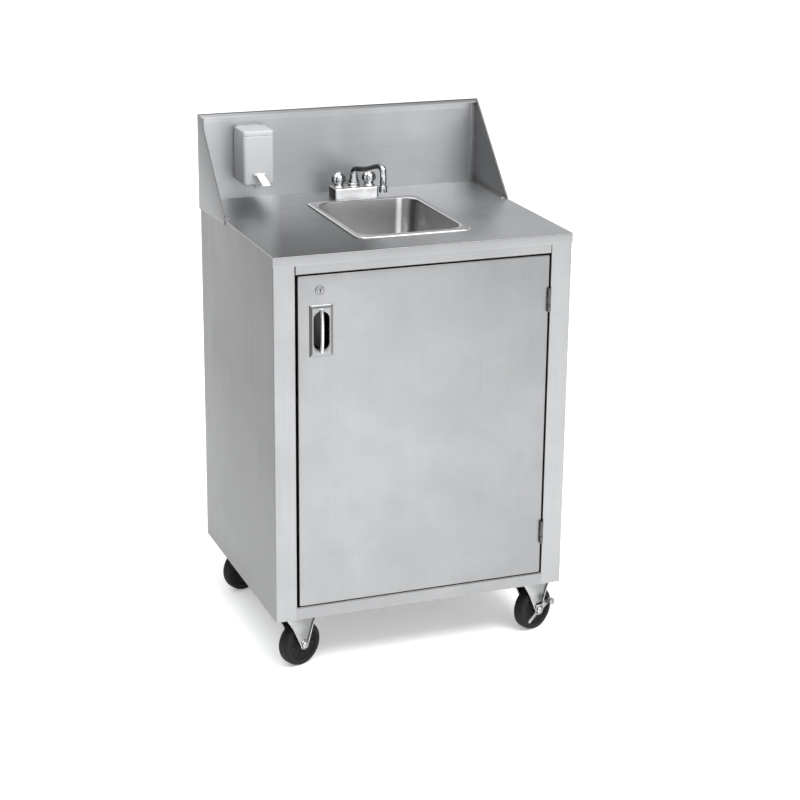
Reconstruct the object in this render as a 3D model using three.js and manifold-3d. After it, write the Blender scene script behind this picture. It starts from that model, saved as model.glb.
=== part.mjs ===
// Portable handwash sink: a stainless cabinet on four casters, with a drop-in basin, a deck faucet,
// a splash on three sides, a wall soap dispenser and its own fresh and waste water tanks.
// Millimetres, +Z up, front towards -Y. The origin is on the floor under the cabinet's middle.

import * as THREE from 'three';
import { mergeVertices } from 'three/addons/utils/BufferGeometryUtils.js';
import Module from 'manifold-3d';

const wasm = await Module();
wasm.setup();

// Driving sizes of the cabinet
const cabinetWidth = 660;
const cabinetDepth = 535;
const bodyHeight = 796;
const skirtHeight = 127;
const sheet = 1.5;
const stileWidth = 47;
const stileReturn = 13;
const railReturn = 25;
const backReturn = 20;
const skirtHem = 18;
const flangeDrop = 21.5;
const topRailDrop = 41;
const bottomRailHeight = 27.5;
const panLift = 6;
const panFlange = 20;

// Fits shared by all pieces. Corners are rounded to the grid, so that faces which meet stay flush.
const clearance = 0.3;
const overrun = 5;
const grid = 1 / 1024;

// Edges worked out from the driving sizes
const left = -cabinetWidth / 2;
const right = cabinetWidth / 2;
const front = -cabinetDepth / 2;
const back = cabinetDepth / 2;
const counterHeight = skirtHeight + bodyHeight;
const counterUnder = counterHeight - sheet;
const openingTop = counterHeight - topRailDrop;
const openingBottom = skirtHeight + bottomRailHeight;
const panUnder = skirtHeight + panLift;
const panTop = panUnder + sheet;
const backInner = back - sheet;

// Splash
const splashRise = 194;
const splashSheet = 2;
const splashStandOff = 4;
const splashDrop = 18;
const splashFold = 14;
const splashLip = 8;
const wingReach = 200;
const wingLap = 10;
const wingStep = 3;
const wingFlange = 12;
const wingHem = 9;
const splashFace = back + splashStandOff;
const splashRear = splashFace + splashSheet;
const splashTop = counterHeight + splashRise;

// Door
const doorDepth = 22;
const doorGapLatch = 7;
const doorGapHinge = 8.5;
const doorGapTop = 6;
const doorGapBottom = 4.5;
const doorLeft = left + stileWidth + doorGapLatch;
const doorRight = right - stileWidth - doorGapHinge;
const doorBottom = openingBottom + doorGapBottom;
const doorTop = openingTop - doorGapTop;

// Hinges
const hingeHeight = 52;
const hingeInset = 94;
const hingeLeafDepth = 12;
const hingePinRadius = 1.6;
const knuckleRadius = 3.5;
const knuckleShare = 1 / 3;
const hingeX = (doorRight + right - stileWidth) / 2;
const hingeY = front - knuckleRadius - clearance;

// Recessed pull
const pullWidth = 51;
const pullHeight = 110;
const pullRise = 3.5;
const pullBevel = 6;
const pullCorner = 2;
const pullFromEdge = 47.5;
const pullBelowTop = 114;
const pullWall = 2;
const wellWidth = 32;
const wellHeight = 81;
const wellDepth = 14;
const wellDraft = 4;
const gripRadius = 4.2;
const gripBow = 4;
const gripRooting = 4;
const gripShoulderShare = 0.8;
const gripMiddleShare = 0.4;

// Lock
const lockFromEdge = 45;
const lockBelowTop = 29;
const lockFlangeRadius = 10;
const lockFlangeRise = 3;
const lockBarrelRadius = 8.5;
const lockPlugRadius = 6;
const lockNutRadius = 12;
const lockNutThickness = 3;
const keySlotWidth = 1.6;
const keySlotHeight = 7;
const keySlotDepth = 5;
const camReach = 46;
const camWidth = 12;
const camThickness = 2;

// Basin
const basinWidth = 262;
const basinFrontMargin = 91.5;
const basinBackMargin = 100.5;
const basinOffset = 12;
const basinDepth = 140;
const basinSheet = 1.2;
const rimWidth = 13;
const rimRise = 3;
const rimCorner = 22;
const bowlCorner = 40;
const bowlDraft = 6;
const floorFillet = 20;
const floorFall = 4;
const bowlCutClear = 3;
const drainRadius = 25;
const drainSeat = 12;
const drainClear = 1;
const basinX = basinOffset;
const basinLength = cabinetDepth - basinFrontMargin - basinBackMargin;
const basinY = front + basinFrontMargin + basinLength / 2;
const bowlFloor = counterHeight - basinDepth;

// Drain fitting
const drainFlange = 8;
const drainFlangeThickness = 2;
const drainCupDepth = 34;
const drainCupWall = 2.5;
const drainNutRadius = 34;
const drainNutThickness = 9;
const tailRadius = 18;
const tailBore = 15;
const tailLength = 34;
const strainerThickness = 2;
const strainerHoleRadius = 3;
const strainerHoleCircle = 13;
const strainerHoles = 6;

// Faucet
const faucetFromBack = 55;
const faucetWidth = 104;
const faucetDepth = 48;
const faucetHeight = 22;
const faucetCrown = 3;
const faucetCorner = 6;
const handleSpacing = 72;
const hubRadius = 12;
const hubRise = 4;
const socketRadius = 13;
const socketRise = 8;
const shankRadius = 8;
const shankLength = 44;
const shankNutRadius = 15;
const shankNutThickness = 6;
const faucetX = basinX;
const faucetY = back - faucetFromBack;
const faucetTop = counterHeight + faucetHeight;

// Spout
const spoutReach = 142;
const spoutRise = 31;
const spoutRadius = 7;
const riserHeight = 29;
const riserFoot = 11.5;
const riserNeck = 8.6;
const riserFlare = 12;
const spoutBend = 14;
const spoutSteps = 24;
const outletDrop = 39;
const aeratorRadius = 9.2;
const aeratorHeight = 15;
const aeratorBore = 6;
const aeratorMeshDepth = 5;
const spoutTurn = THREE.MathUtils.degToRad(7.4);

// Faucet handles
const knobRadius = 17.5;
const knobHeight = 31;
const knobLobes = 4;
const knobLobeShare = 0.1;
const knobProfileShares = [
  [0.66, 0],
  [0.72, 0.14],
  [0.98, 0.34],
  [1, 0.52],
  [0.9, 0.72],
  [0.66, 0.87],
  [0.5, 0.94],
  [0.42, 1],
];

// Soap dispenser
const dispenserWidth = 70;
const dispenserDepth = 82;
const dispenserHeight = 120;
const dispenserLift = 44;
const dispenserFromLeft = 113.5;
const dispenserCorner = 8;
const dispenserWall = 3;
const dispenserFloor = 4;
const lidThickness = 10;
const lidHingeInset = 12;
const valveRadius = 8;
const valveNoseRadius = 5;
const valveLength = 12;
const valveNoseShare = 0.55;
const valveSetback = 24;
const leverWidth = 18;
const leverThickness = 4;
const leverReach = 50;
const leverDrop = 14;
const leverTop = 24;
const leverEyeRadius = 3.4;
const leverLugWidth = 4;
const dispenserX = left + dispenserFromLeft;
const dispenserBottom = counterHeight + dispenserLift;
const dispenserTop = dispenserBottom + dispenserHeight;
const dispenserFront = splashFace - dispenserDepth;
const tankRimHeight = dispenserTop - lidThickness - clearance;
const lidAxisY = splashFace - lidHingeInset;
const lidAxisZ = dispenserTop - lidThickness / 2;
const leverAxisY = dispenserFront - leverEyeRadius - clearance;
const leverAxisZ = dispenserBottom + leverTop;

// Water tanks
const tankCorner = 30;
const tankEdge = 8;
const tankShoulder = 14;
const tankCrownInset = 20;
const tankHandleSpan = 104;
const tankHandleRise = 34;
const tankHandleRadius = 8;
const tankHandleBend = 12;
const neckHeight = 15;
const capWall = 4;
const capTop = 4;
const barbRadius = 5;
const barbLength = 14;
const barbRings = 2;
const barbStep = 1;

// Where the tanks stand, as gaps to the cabinet's sides, front and back and to each other
const tankLeftGap = 40;
const tankMiddleGap = 60;
const tankRightGap = 90;
const tankFrontGap = 37.5;
const freshRearGap = 217.5;
const wasteRearGap = 197.5;
const wasteShare = 25 / 47;
const freshNeckInset = 45;
const wasteNeckInset = 74.5;
const wasteNeckSideInset = 45;
const tankSpan = cabinetWidth - tankLeftGap - tankMiddleGap - tankRightGap;
const wasteWidth = tankSpan * wasteShare;
const freshWidth = tankSpan - wasteWidth;
const freshDepth = cabinetDepth - tankFrontGap - freshRearGap;
const wasteDepth = cabinetDepth - tankFrontGap - wasteRearGap;

const freshTank = {
  width: freshWidth, depth: freshDepth, height: 320,
  x: right - tankRightGap - freshWidth / 2, y: front + tankFrontGap + freshDepth / 2,
  neckRadius: 24, neckX: 0, neckY: freshDepth / 2 - freshNeckInset, handleY: -20,
};
const wasteTank = {
  width: wasteWidth, depth: wasteDepth, height: 380,
  x: left + tankLeftGap + wasteWidth / 2, y: front + tankFrontGap + wasteDepth / 2,
  neckRadius: 30, neckX: wasteWidth / 2 - wasteNeckSideInset, neckY: wasteDepth / 2 - wasteNeckInset,
  handleY: -40,
};

// Pump
const pumpFromRight = 125;
const pumpLift = 494;
const pumpX = right - pumpFromRight;
const pumpZ = skirtHeight + pumpLift;
const pumpMotorRadius = 29;
const pumpMotorLength = 108;
const pumpHeadWidth = 42;
const pumpHeadDepth = 60;
const pumpHeadHeight = 70;
const pumpFootThickness = 4;
const pumpFootWidth = 16;
const pumpFootHeight = 84;
const saddleShare = 0.8;
const motorCapRadius = 24;
const motorCapLength = 8;

// Supply tee
const teeRadius = 7;
const teeHeight = 34;
const teeBranch = 20;

// Water heater
const heaterFromLeft = 150;
const heaterX = left + heaterFromLeft;
const heaterWidth = 180;
const heaterHeight = 230;
const heaterDepth = 84;
const heaterLift = 442;
const heaterBottom = skirtHeight + heaterLift;
const heaterCorner = 14;
const heaterEdge = 6;
const heaterPortInset = 46;
const heaterPortDepth = 42;

// Hoses, and how far each bend point of their routes stands from the port it serves
const hoseRadius = 7;
const drainHoseRadius = 17;
const capLead = 22;
const pumpLead = 26;
const suctionSag = 42;
const teeLead = 40;
const coldRise = 95;
const coldLead = 36;
const branchLead = 30;
const feedRise = 40;
const feedSide = 26;
const feedSag = 34;
const feedLead = 22;
const hotStart = 14;
const hotLead = 26;
const drainLead = 34;

// Power inlet
const inletFromLeft = 140;
const inletLift = 87;
const inletX = left + inletFromLeft;
const inletZ = skirtHeight + inletLift;
const inletFlange = 62;
const inletFlangeThickness = 3;
const inletFlangeCorner = 8;
const inletBodyRadius = 24;
const inletBore = 20;
const inletDepth = 26;
const inletBoreDepth = 20;
const bladeThickness = 1.6;
const bladeWidth = 6.4;
const bladeLength = 16;
const bladeSpacing = 12.7;
const groundPinRadius = 2.4;
const groundPinDrop = 11;

// Casters
const wheelDiameter = 100;
const wheelWidth = 28;
const treadShoulder = 5;
const webInset = 4;
const webRimShare = 0.72;
const hubShare = 0.34;
const casterSideInset = 54;
const casterFrontInset = 46;
const casterRearInset = 60;
const casterTrail = 14;
const casterSwing = THREE.MathUtils.degToRad(22.5);
const plateLength = 92;
const plateWidth = 60;
const plateThickness = 2.5;
const plateCorner = 6;
const plateHoleRadius = 4;
const plateHoleInset = 9;
const raceRadius = 27;
const raceHeight = 4.5;
const forkCrown = 3;
const forkLeg = 2.2;
const forkRim = 2.4;
const forkRimWidth = 3;
const forkLead = 38;
const forkTailReach = 54;
const forkTipRadius = 11;
const forkSideClear = 1.5;
const forkWaistShare = 0.55;
const forkPinchShare = 0.52;
const axleRadius = 4.8;
const boltHeadRadius = 8;
const boltHeadThickness = 4.5;
const boltCrownShare = 0.7;
const brakeThickness = 2;
const brakeEyeRadius = 12.5;
const brakeArmWidth = 8;
const brakeTabWidth = 13;
const brakeTabOut = 13;
const brakeToeX = -31;
const brakeToeZ = -21;
const brakeTabX = 28;
const brakeTabZ = 15;
const brakeTipShare = 0.4;

// Smoothness of round work, in sides or steps
const wheelSides = 20;
const roundSides = 16;
const smallSides = 10;
const barSides = 8;
const nutSides = 6;
const cornerSteps = 3;
const fineCornerSteps = 5;
const roughCornerSteps = 2;
const hoseSteps = 12;

// Materials
const brushedSteel = new THREE.MeshStandardMaterial({ color: 0xc6c7c9, roughness: 0.38, metalness: 0.9 });
const polishedSteel = new THREE.MeshStandardMaterial({ color: 0xb4b6b9, roughness: 0.22, metalness: 0.95 });
const chrome = new THREE.MeshStandardMaterial({ color: 0xdcdee0, roughness: 0.08, metalness: 1 });
const zincPlate = new THREE.MeshStandardMaterial({ color: 0xd9dbdc, roughness: 0.3, metalness: 0.9 });
const blackRubber = new THREE.MeshStandardMaterial({ color: 0x18181a, roughness: 0.62, metalness: 0 });
const greyPlastic = new THREE.MeshStandardMaterial({ color: 0xcfd1d3, roughness: 0.35, metalness: 0 });
const whitePlastic = new THREE.MeshStandardMaterial({ color: 0xf4f4f2, roughness: 0.32, metalness: 0 });
const tankPlastic = new THREE.MeshStandardMaterial({ color: 0xdfe4e4, roughness: 0.5, metalness: 0 });
const darkPlastic = new THREE.MeshStandardMaterial({ color: 0x2c2e31, roughness: 0.5, metalness: 0 });
const heaterShell = new THREE.MeshStandardMaterial({ color: 0xe6e6e2, roughness: 0.4, metalness: 0 });
const clearHose = new THREE.MeshStandardMaterial({ color: 0xb9c6c9, roughness: 0.3, metalness: 0 });
const drainRubber = new THREE.MeshStandardMaterial({ color: 0x3c3f42, roughness: 0.6, metalness: 0 });

// Geometry tools

// Welds equal corners, drops empty triangles and turns all faces outwards.
function closed(geometry) {
  const bare = geometry.clone();
  for (const name of Object.keys(bare.attributes)) {
    if (name !== 'position') bare.deleteAttribute(name);
  }
  const welded = mergeVertices(bare);
  const at = (i) => new THREE.Vector3().fromBufferAttribute(welded.attributes.position, i);
  const faces = [];
  let volume = 0;
  for (let i = 0; i < welded.index.count; i += 3) {
    const [a, b, c] = [0, 1, 2].map((k) => welded.index.getX(i + k));
    if (a === b || b === c || c === a) continue;
    faces.push([a, b, c]);
    volume += at(a).dot(at(b).cross(at(c)));
  }
  const turned = volume < 0 ? faces.map(([a, b, c]) => [a, c, b]) : faces;
  welded.setIndex(turned.flat());
  return welded;
}

function solid(shape) {
  if (shape instanceof wasm.Manifold) return shape;
  const welded = closed(shape);
  const vertProperties = Float32Array.from(welded.attributes.position.array);
  const triVerts = Uint32Array.from(welded.index.array);
  return new wasm.Manifold(new wasm.Mesh({ numProp: 3, vertProperties, triVerts }));
}

function join(first, ...others) {
  return others.reduce((sum, next) => sum.add(solid(next)), solid(first));
}

function cut(first, ...tools) {
  return tools.reduce((rest, tool) => rest.subtract(solid(tool)), solid(first));
}

function geometryOf(shape) {
  if (!(shape instanceof wasm.Manifold)) return closed(shape);
  const mesh = shape.getMesh();
  const geometry = new THREE.BufferGeometry();
  geometry.setAttribute('position', new THREE.BufferAttribute(mesh.vertProperties, mesh.numProp));
  geometry.setIndex(Array.from(mesh.triVerts));
  return geometry;
}

function piece(name, material, shape) {
  const rounded = geometryOf(shape);
  rounded.attributes.position.array.forEach((value, i, all) => {
    all[i] = Math.round(value / grid) * grid;
  });
  const geometry = closed(rounded).toNonIndexed();
  geometry.computeVertexNormals();
  const mesh = new THREE.Mesh(geometry, material);
  mesh.name = name;
  return mesh;
}

// Directions of an outline's two axes and of the way it is carried, for each row axis.
const outlineFrames = {
  x: [new THREE.Vector3(0, 1, 0), new THREE.Vector3(0, 0, 1), new THREE.Vector3(1, 0, 0)],
  y: [new THREE.Vector3(1, 0, 0), new THREE.Vector3(0, 0, 1), new THREE.Vector3(0, -1, 0)],
  z: [new THREE.Vector3(1, 0, 0), new THREE.Vector3(0, 1, 0), new THREE.Vector3(0, 0, 1)],
};

// An outline of [u, v] corners, carried along the row axis between two stations.
function prism(outline, axis, from, to) {
  const [u, v, w] = outlineFrames[axis];
  const low = Math.min(from, to);
  const high = Math.max(from, to);
  const shape = new THREE.Shape(outline.map(([a, b]) => new THREE.Vector2(a, b)));
  const geometry = new THREE.ExtrudeGeometry(shape, { depth: high - low, bevelEnabled: false, steps: 1 });
  geometry.applyMatrix4(new THREE.Matrix4().makeBasis(u, v, w));
  const start = axis === 'y' ? high : low;
  return geometry.translate(axis === 'x' ? start : 0, axis === 'y' ? start : 0, axis === 'z' ? start : 0);
}

function block([x0, x1], [y0, y1], [z0, z1]) {
  const geometry = new THREE.BoxGeometry(Math.abs(x1 - x0), Math.abs(y1 - y0), Math.abs(z1 - z0));
  return geometry.translate((x0 + x1) / 2, (y0 + y1) / 2, (z0 + z1) / 2);
}

function arc([u, v], radius, fromDegrees, toDegrees, steps) {
  return Array.from({ length: steps + 1 }, (_, i) => {
    const angle = THREE.MathUtils.degToRad(fromDegrees + ((toDegrees - fromDegrees) * i) / steps);
    return [u + radius * Math.cos(angle), v + radius * Math.sin(angle)];
  });
}

function disc([u, v], radius, sides) {
  return arc([u, v], radius, 0, 360, sides).slice(0, sides);
}

// A rectangle with round corners, from its centre and half sizes.
function roundedOutline([u, v], halfU, halfV, radius, steps = cornerSteps) {
  const [a, b] = [halfU - radius, halfV - radius];
  return [
    ...arc([u + a, v + b], radius, 0, 90, steps),
    ...arc([u - a, v + b], radius, 90, 180, steps),
    ...arc([u - a, v - b], radius, 180, 270, steps),
    ...arc([u + a, v - b], radius, 270, 360, steps),
  ];
}

// Joins a row of outlines with equal counts. Each is [outline, station]. A looped row has no ends.
function loft(stations, axis, looped = false) {
  const [u, v, w] = outlineFrames[axis];
  const along = axis === 'y' ? -1 : 1;
  const count = stations[0][0].length;
  const positions = [];
  for (const [outline, station] of stations) {
    for (const [a, b] of outline) {
      const corner = new THREE.Vector3();
      corner.addScaledVector(u, a).addScaledVector(v, b).addScaledVector(w, along * station);
      positions.push(...corner.toArray());
    }
  }
  const index = [];
  const rows = looped ? stations.length : stations.length - 1;
  for (let row = 0; row < rows; row += 1) {
    const next = (row + 1) % stations.length;
    for (let i = 0; i < count; i += 1) {
      const j = (i + 1) % count;
      const [a, b, c, d] = [row * count + i, row * count + j, next * count + j, next * count + i];
      index.push(a, b, c, a, c, d);
    }
  }
  if (!looped) {
    const last = (stations.length - 1) * count;
    for (let i = 1; i < count - 1; i += 1) {
      index.push(0, i + 1, i, last, last + i, last + i + 1);
    }
  }
  const geometry = new THREE.BufferGeometry();
  geometry.setAttribute('position', new THREE.Float32BufferAttribute(positions, 3));
  geometry.setIndex(index);
  return geometry;
}

// A turned piece: a profile of [radius, station] pairs round a line along one row axis.
function turned(profile, axis, [x, y, z], sides) {
  const geometry = new THREE.LatheGeometry(profile.map(([r, h]) => new THREE.Vector2(r, h)), sides);
  if (axis === 'z') geometry.rotateX(Math.PI / 2);
  if (axis === 'x') geometry.rotateZ(-Math.PI / 2);
  return geometry.translate(x, y, z);
}

function rod(axis, [x, y, z], radius, from, to, sides = smallSides) {
  return turned([[0, from], [radius, from], [radius, to], [0, to]], axis, [x, y, z], sides);
}

// A round bar or hose through hand-placed points.
function tube(points, radius, sides, steps) {
  const path = new THREE.CatmullRomCurve3(points.map((p) => new THREE.Vector3(...p)), false, 'centripetal');
  const ring = new THREE.Shape(disc([0, 0], radius, sides).map(([a, b]) => new THREE.Vector2(a, b)));
  return new THREE.ExtrudeGeometry(ring, { steps, extrudePath: path, bevelEnabled: false });
}

// A hose tail with sharp-backed rings, standing up or down from its root.
function barb([x, y, z], direction) {
  const step = barbLength / barbRings;
  const profile = [[0, 0], [barbRadius, 0]];
  for (let i = 0; i < barbRings; i += 1) {
    profile.push([barbRadius + barbStep, direction * step * i], [barbRadius, direction * step * (i + 1)]);
  }
  profile.push([0, direction * barbLength]);
  return turned(profile, 'z', [x, y, z], barSides);
}

// Cabinet shell

function sidePanel(side) {
  const at = (inset) => side * (right - inset);
  const outline = [
    [at(0), front],
    [at(stileWidth), front],
    [at(stileWidth), front + stileReturn],
    [at(stileWidth - sheet), front + stileReturn],
    [at(stileWidth - sheet), front + sheet],
    [at(sheet), front + sheet],
    [at(sheet), backInner - sheet],
    [at(backReturn), backInner - sheet],
    [at(backReturn), backInner],
    [at(sheet), backInner],
    [at(sheet), back],
    [at(0), back],
  ];
  const wall = prism(outline, 'z', skirtHeight, counterUnder);
  const hem = block([at(0), at(skirtHem)], [front, backInner - sheet], [skirtHeight, skirtHeight + sheet]);
  return join(wall, hem);
}

function backPanel() {
  const panel = block([left + sheet, right - sheet], [backInner, back], [skirtHeight, counterUnder]);
  const radius = inletBodyRadius + clearance;
  const hole = rod('y', [inletX, 0, inletZ], radius, backInner - overrun, back + overrun, roundSides);
  return cut(panel, hole);
}

function bottomPan() {
  const rear = backInner - sheet;
  const outline = [
    [left + sheet, front + stileReturn],
    [left + stileWidth, front + stileReturn],
    [left + stileWidth, front + sheet],
    [right - stileWidth, front + sheet],
    [right - stileWidth, front + stileReturn],
    [right - sheet, front + stileReturn],
    [right - sheet, rear],
    [left + sheet, rear],
  ];
  const flangeTop = panTop + panFlange;
  const upright = (side) => block(
    [side * (right - sheet), side * (right - sheet - sheet)],
    [front + stileReturn, rear],
    [panUnder, flangeTop],
  );
  const rearUpright = block([left + sheet, right - sheet], [rear - sheet, rear], [panUnder, flangeTop]);
  return join(prism(outline, 'z', panUnder, panTop), upright(-1), upright(1), rearUpright);
}

// Front rails: a face with one leg turned back towards the opening.
function rail(outer, openingEdge) {
  const inner = openingEdge + Math.sign(outer - openingEdge) * sheet;
  const outline = [
    [front, outer],
    [front, openingEdge],
    [front + railReturn, openingEdge],
    [front + railReturn, inner],
    [front + sheet, inner],
    [front + sheet, outer],
  ];
  return prism(outline, 'x', left + stileWidth, right - stileWidth);
}

function bowlOutline(grow) {
  const halfX = basinWidth / 2 - rimWidth + grow;
  const halfY = basinLength / 2 - rimWidth + grow;
  return roundedOutline([basinX, basinY], halfX, halfY, bowlCorner + grow);
}

function handleX(side) {
  return faucetX + (side * handleSpacing) / 2;
}

function countertop() {
  const outline = [
    [front - sheet, counterHeight],
    [splashFace, counterHeight],
    [splashFace, counterUnder],
    [front, counterUnder],
    [front, counterHeight - flangeDrop],
    [front - sheet, counterHeight - flangeDrop],
  ];
  const hole = prism(bowlOutline(bowlCutClear), 'z', counterUnder - overrun, counterHeight + overrun);
  const shankHole = (side) => rod('z', [handleX(side), faucetY, 0], shankRadius + clearance,
    counterUnder - overrun, counterHeight + overrun);
  return cut(prism(outline, 'x', left, right), hole, shankHole(-1), shankHole(1));
}

// Splash

function backSplash() {
  const bottom = counterHeight - splashDrop;
  const lipFace = splashRear - splashFold;
  const outline = [
    [splashRear, bottom],
    [splashRear, splashTop],
    [lipFace, splashTop],
    [lipFace, splashTop - splashLip],
    [lipFace + splashSheet, splashTop - splashLip],
    [lipFace + splashSheet, splashTop - splashSheet],
    [splashFace, splashTop - splashSheet],
    [splashFace, bottom + splashSheet],
    [back, bottom + splashSheet],
    [back, bottom],
  ];
  return prism(outline, 'x', left, right);
}

function sideSplash(side) {
  const outer = side * (right + splashSheet);
  const inner = side * right;
  const foot = splashRear - wingReach;
  const shoulder = splashRear - splashFold;
  const outline = [
    [splashRear, counterHeight - splashDrop],
    [foot, counterHeight - wingLap],
    [foot, counterHeight + wingStep],
    [shoulder, splashTop],
    [splashRear, splashTop],
  ];
  const slope = new THREE.Vector2(shoulder - foot, splashTop - counterHeight - wingStep).normalize();
  const along = (point, reach, inset) => [
    point[0] + slope.x * reach + slope.y * inset,
    point[1] + slope.y * reach - slope.x * inset,
  ];
  const low = [foot, counterHeight + wingStep];
  const high = [shoulder, splashTop];
  const hemOutline = [
    along(low, wingHem, 0),
    along(low, wingHem, wingHem),
    along(high, -wingHem, wingHem),
    along(high, -wingHem, 0),
  ];
  const hem = prism(hemOutline, 'x', inner, inner - side * splashSheet);
  const deckFlange = block(
    [inner, inner - side * wingFlange],
    [foot + wingHem, splashFace - splashSheet],
    [counterHeight, counterHeight + splashSheet],
  );
  const backFlange = block(
    [inner, inner - side * wingFlange],
    [splashFace - splashSheet, splashFace],
    [counterHeight, splashTop - splashLip - splashSheet],
  );
  return join(prism(outline, 'x', inner, outer), hem, deckFlange, backFlange);
}

// Basin

// The bowl is one sheet: its skin runs over the rim, down the wall and floor to the drain, and back below.
function basin() {
  const rimTop = counterHeight + rimRise;
  const inner = [
    [rimCorner, 0, counterHeight],
    [rimCorner, basinSheet, rimTop - basinSheet / 2],
    [rimCorner, basinSheet * 2, rimTop],
    [bowlCorner, rimWidth - basinSheet, rimTop],
    [bowlCorner, rimWidth + basinSheet, rimTop - basinSheet],
    [bowlCorner, rimWidth + basinSheet * 2, counterHeight - rimRise],
  ];
  const wallFoot = rimWidth + bowlDraft;
  const filletCentre = bowlFloor + floorFall + floorFillet;
  for (const degrees of [0, 30, 60, 90]) {
    const angle = THREE.MathUtils.degToRad(degrees);
    const inset = wallFoot + floorFillet * (1 - Math.cos(angle));
    inner.push([bowlCorner, inset, filletCentre - floorFillet * Math.sin(angle)]);
  }
  const outer = inner.slice(1).map(([corner, inset, z], i) => {
    const share = Math.max(0, Math.min(1, (filletCentre - z) / floorFillet));
    const sideways = i < 3 ? 0 : basinSheet * (1 - share);
    return [corner, inset - sideways, z - (i < 3 ? basinSheet : basinSheet * share)];
  });
  outer[0] = [rimCorner, basinSheet, counterHeight];
  outer[1] = [rimCorner, basinSheet * 2, rimTop - basinSheet];
  outer[2] = [bowlCorner, rimWidth - basinSheet * 2, rimTop - basinSheet];
  outer[3] = [bowlCorner, rimWidth - basinSheet, rimTop - basinSheet * 2];
  const ring = ([corner, inset, z]) => {
    const [halfX, halfY] = [basinWidth / 2 - inset, basinLength / 2 - inset];
    return [roundedOutline([basinX, basinY], halfX, halfY, Math.min(corner, halfX)), z];
  };
  const drainRing = (radius, z) => [roundedOutline([basinX, basinY], radius, radius, radius), z];
  const seat = drainRadius + drainSeat;
  return loft([
    ...inner.map(ring),
    drainRing(seat, bowlFloor),
    drainRing(drainRadius, bowlFloor),
    drainRing(drainRadius, bowlFloor - basinSheet),
    drainRing(seat, bowlFloor - basinSheet),
    ...outer.map(ring).reverse(),
  ], 'z', true);
}

// The strainer cup hangs in the drain hole between its flange and its nut, with the tail below.
function drainFitting() {
  const under = -basinSheet;
  const cup = drainRadius - drainClear;
  const cupFloor = -drainCupDepth;
  const strainer = -drainCupDepth / 2;
  const tailEnd = cupFloor - tailLength;
  const profile = [
    [0, strainer],
    [cup - drainCupWall, strainer],
    [cup - drainCupWall, drainFlangeThickness],
    [drainRadius + drainFlange, drainFlangeThickness / 2],
    [drainRadius + drainFlange, 0],
    [cup, 0],
    [cup, under],
    [drainNutRadius, under],
    [drainNutRadius, under - drainNutThickness],
    [cup, under - drainNutThickness],
    [cup, cupFloor],
    [tailRadius, cupFloor - drainCupWall],
    [tailRadius, tailEnd],
    [tailBore, tailEnd],
    [tailBore, cupFloor],
    [cup - drainCupWall, cupFloor + drainCupWall],
    [cup - drainCupWall, strainer - strainerThickness],
    [0, strainer - strainerThickness],
  ];
  const centre = [basinX, basinY, bowlFloor];
  const holes = Array.from({ length: strainerHoles }, (_, i) => {
    const angle = (i / strainerHoles) * 2 * Math.PI;
    const x = basinX + strainerHoleCircle * Math.cos(angle);
    const y = basinY + strainerHoleCircle * Math.sin(angle);
    return rod('z', [x, y, bowlFloor + strainer], strainerHoleRadius, -overrun, overrun, nutSides);
  });
  return cut(turned(profile, 'z', centre, roundSides), ...holes);
}

// Faucet

function faucetBase() {
  const [halfX, halfY] = [faucetWidth / 2, faucetDepth / 2];
  const ring = (inset, z) => [
    roundedOutline([faucetX, faucetY], halfX - inset, halfY - inset, faucetCorner - inset), z,
  ];
  const body = loft([
    ring(0, counterHeight),
    ring(0, faucetTop - faucetCrown),
    ring(faucetCrown / 3, faucetTop - faucetCrown / 3),
    ring(faucetCrown, faucetTop),
  ], 'z');
  const post = (x, radius, rise) => rod('z', [x, faucetY, faucetTop], radius, -faucetCrown, rise, roundSides);
  const shank = (side) => rod('z', [handleX(side), faucetY, counterHeight], shankRadius, -shankLength, sheet);
  const nut = (side) => rod('z', [handleX(side), faucetY, counterUnder], shankNutRadius,
    -shankNutThickness, 0, nutSides);
  return join(
    body, post(handleX(-1), hubRadius, hubRise), post(handleX(1), hubRadius, hubRise),
    post(faucetX, socketRadius, socketRise), shank(-1), shank(1), nut(-1), nut(1),
  );
}

// Spout: a flared riser, and a tube that climbs forwards, rolls over and ends in a short drop.
function spout() {
  const foot = faucetTop + socketRise + clearance;
  const neck = foot + riserHeight;
  const riser = turned([
    [0, foot],
    [riserFoot, foot],
    [riserFoot, foot + riserFlare / 3],
    [riserNeck, foot + riserFlare],
    [riserNeck, neck - spoutRadius],
    [spoutRadius, neck],
    [0, neck],
  ], 'z', [0, 0, 0], roundSides);
  const tip = neck + spoutRise;
  const path = [
    [0, 0, neck - spoutBend],
    [0, 0, neck - spoutBend / 3],
    [0, -spoutBend / 2, neck + spoutBend / 6],
    [0, -spoutReach / 2, neck + spoutRise / 2],
    [0, spoutBend - spoutReach, tip],
    [0, spoutBend / 4 - spoutReach, tip - spoutBend / 4],
    [0, -spoutReach, tip - spoutBend],
    [0, -spoutReach, tip - outletDrop],
  ];
  const arm = solid(tube(path, spoutRadius, smallSides, spoutSteps));
  const whole = geometryOf(join(riser, arm));
  return whole.rotateZ(spoutTurn).translate(faucetX, faucetY, 0);
}

function aerator() {
  const top = faucetTop + socketRise + clearance + riserHeight + spoutRise - outletDrop - clearance;
  const profile = [
    [0, top],
    [aeratorRadius - clearance, top],
    [aeratorRadius, top - clearance],
    [aeratorRadius, top - aeratorHeight],
    [aeratorBore, top - aeratorHeight],
    [aeratorBore, top - aeratorHeight + aeratorMeshDepth],
    [0, top - aeratorHeight + aeratorMeshDepth],
  ];
  const ring = turned(profile, 'z', [0, -spoutReach, 0], roundSides);
  return ring.rotateZ(spoutTurn).translate(faucetX, faucetY, 0);
}

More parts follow.
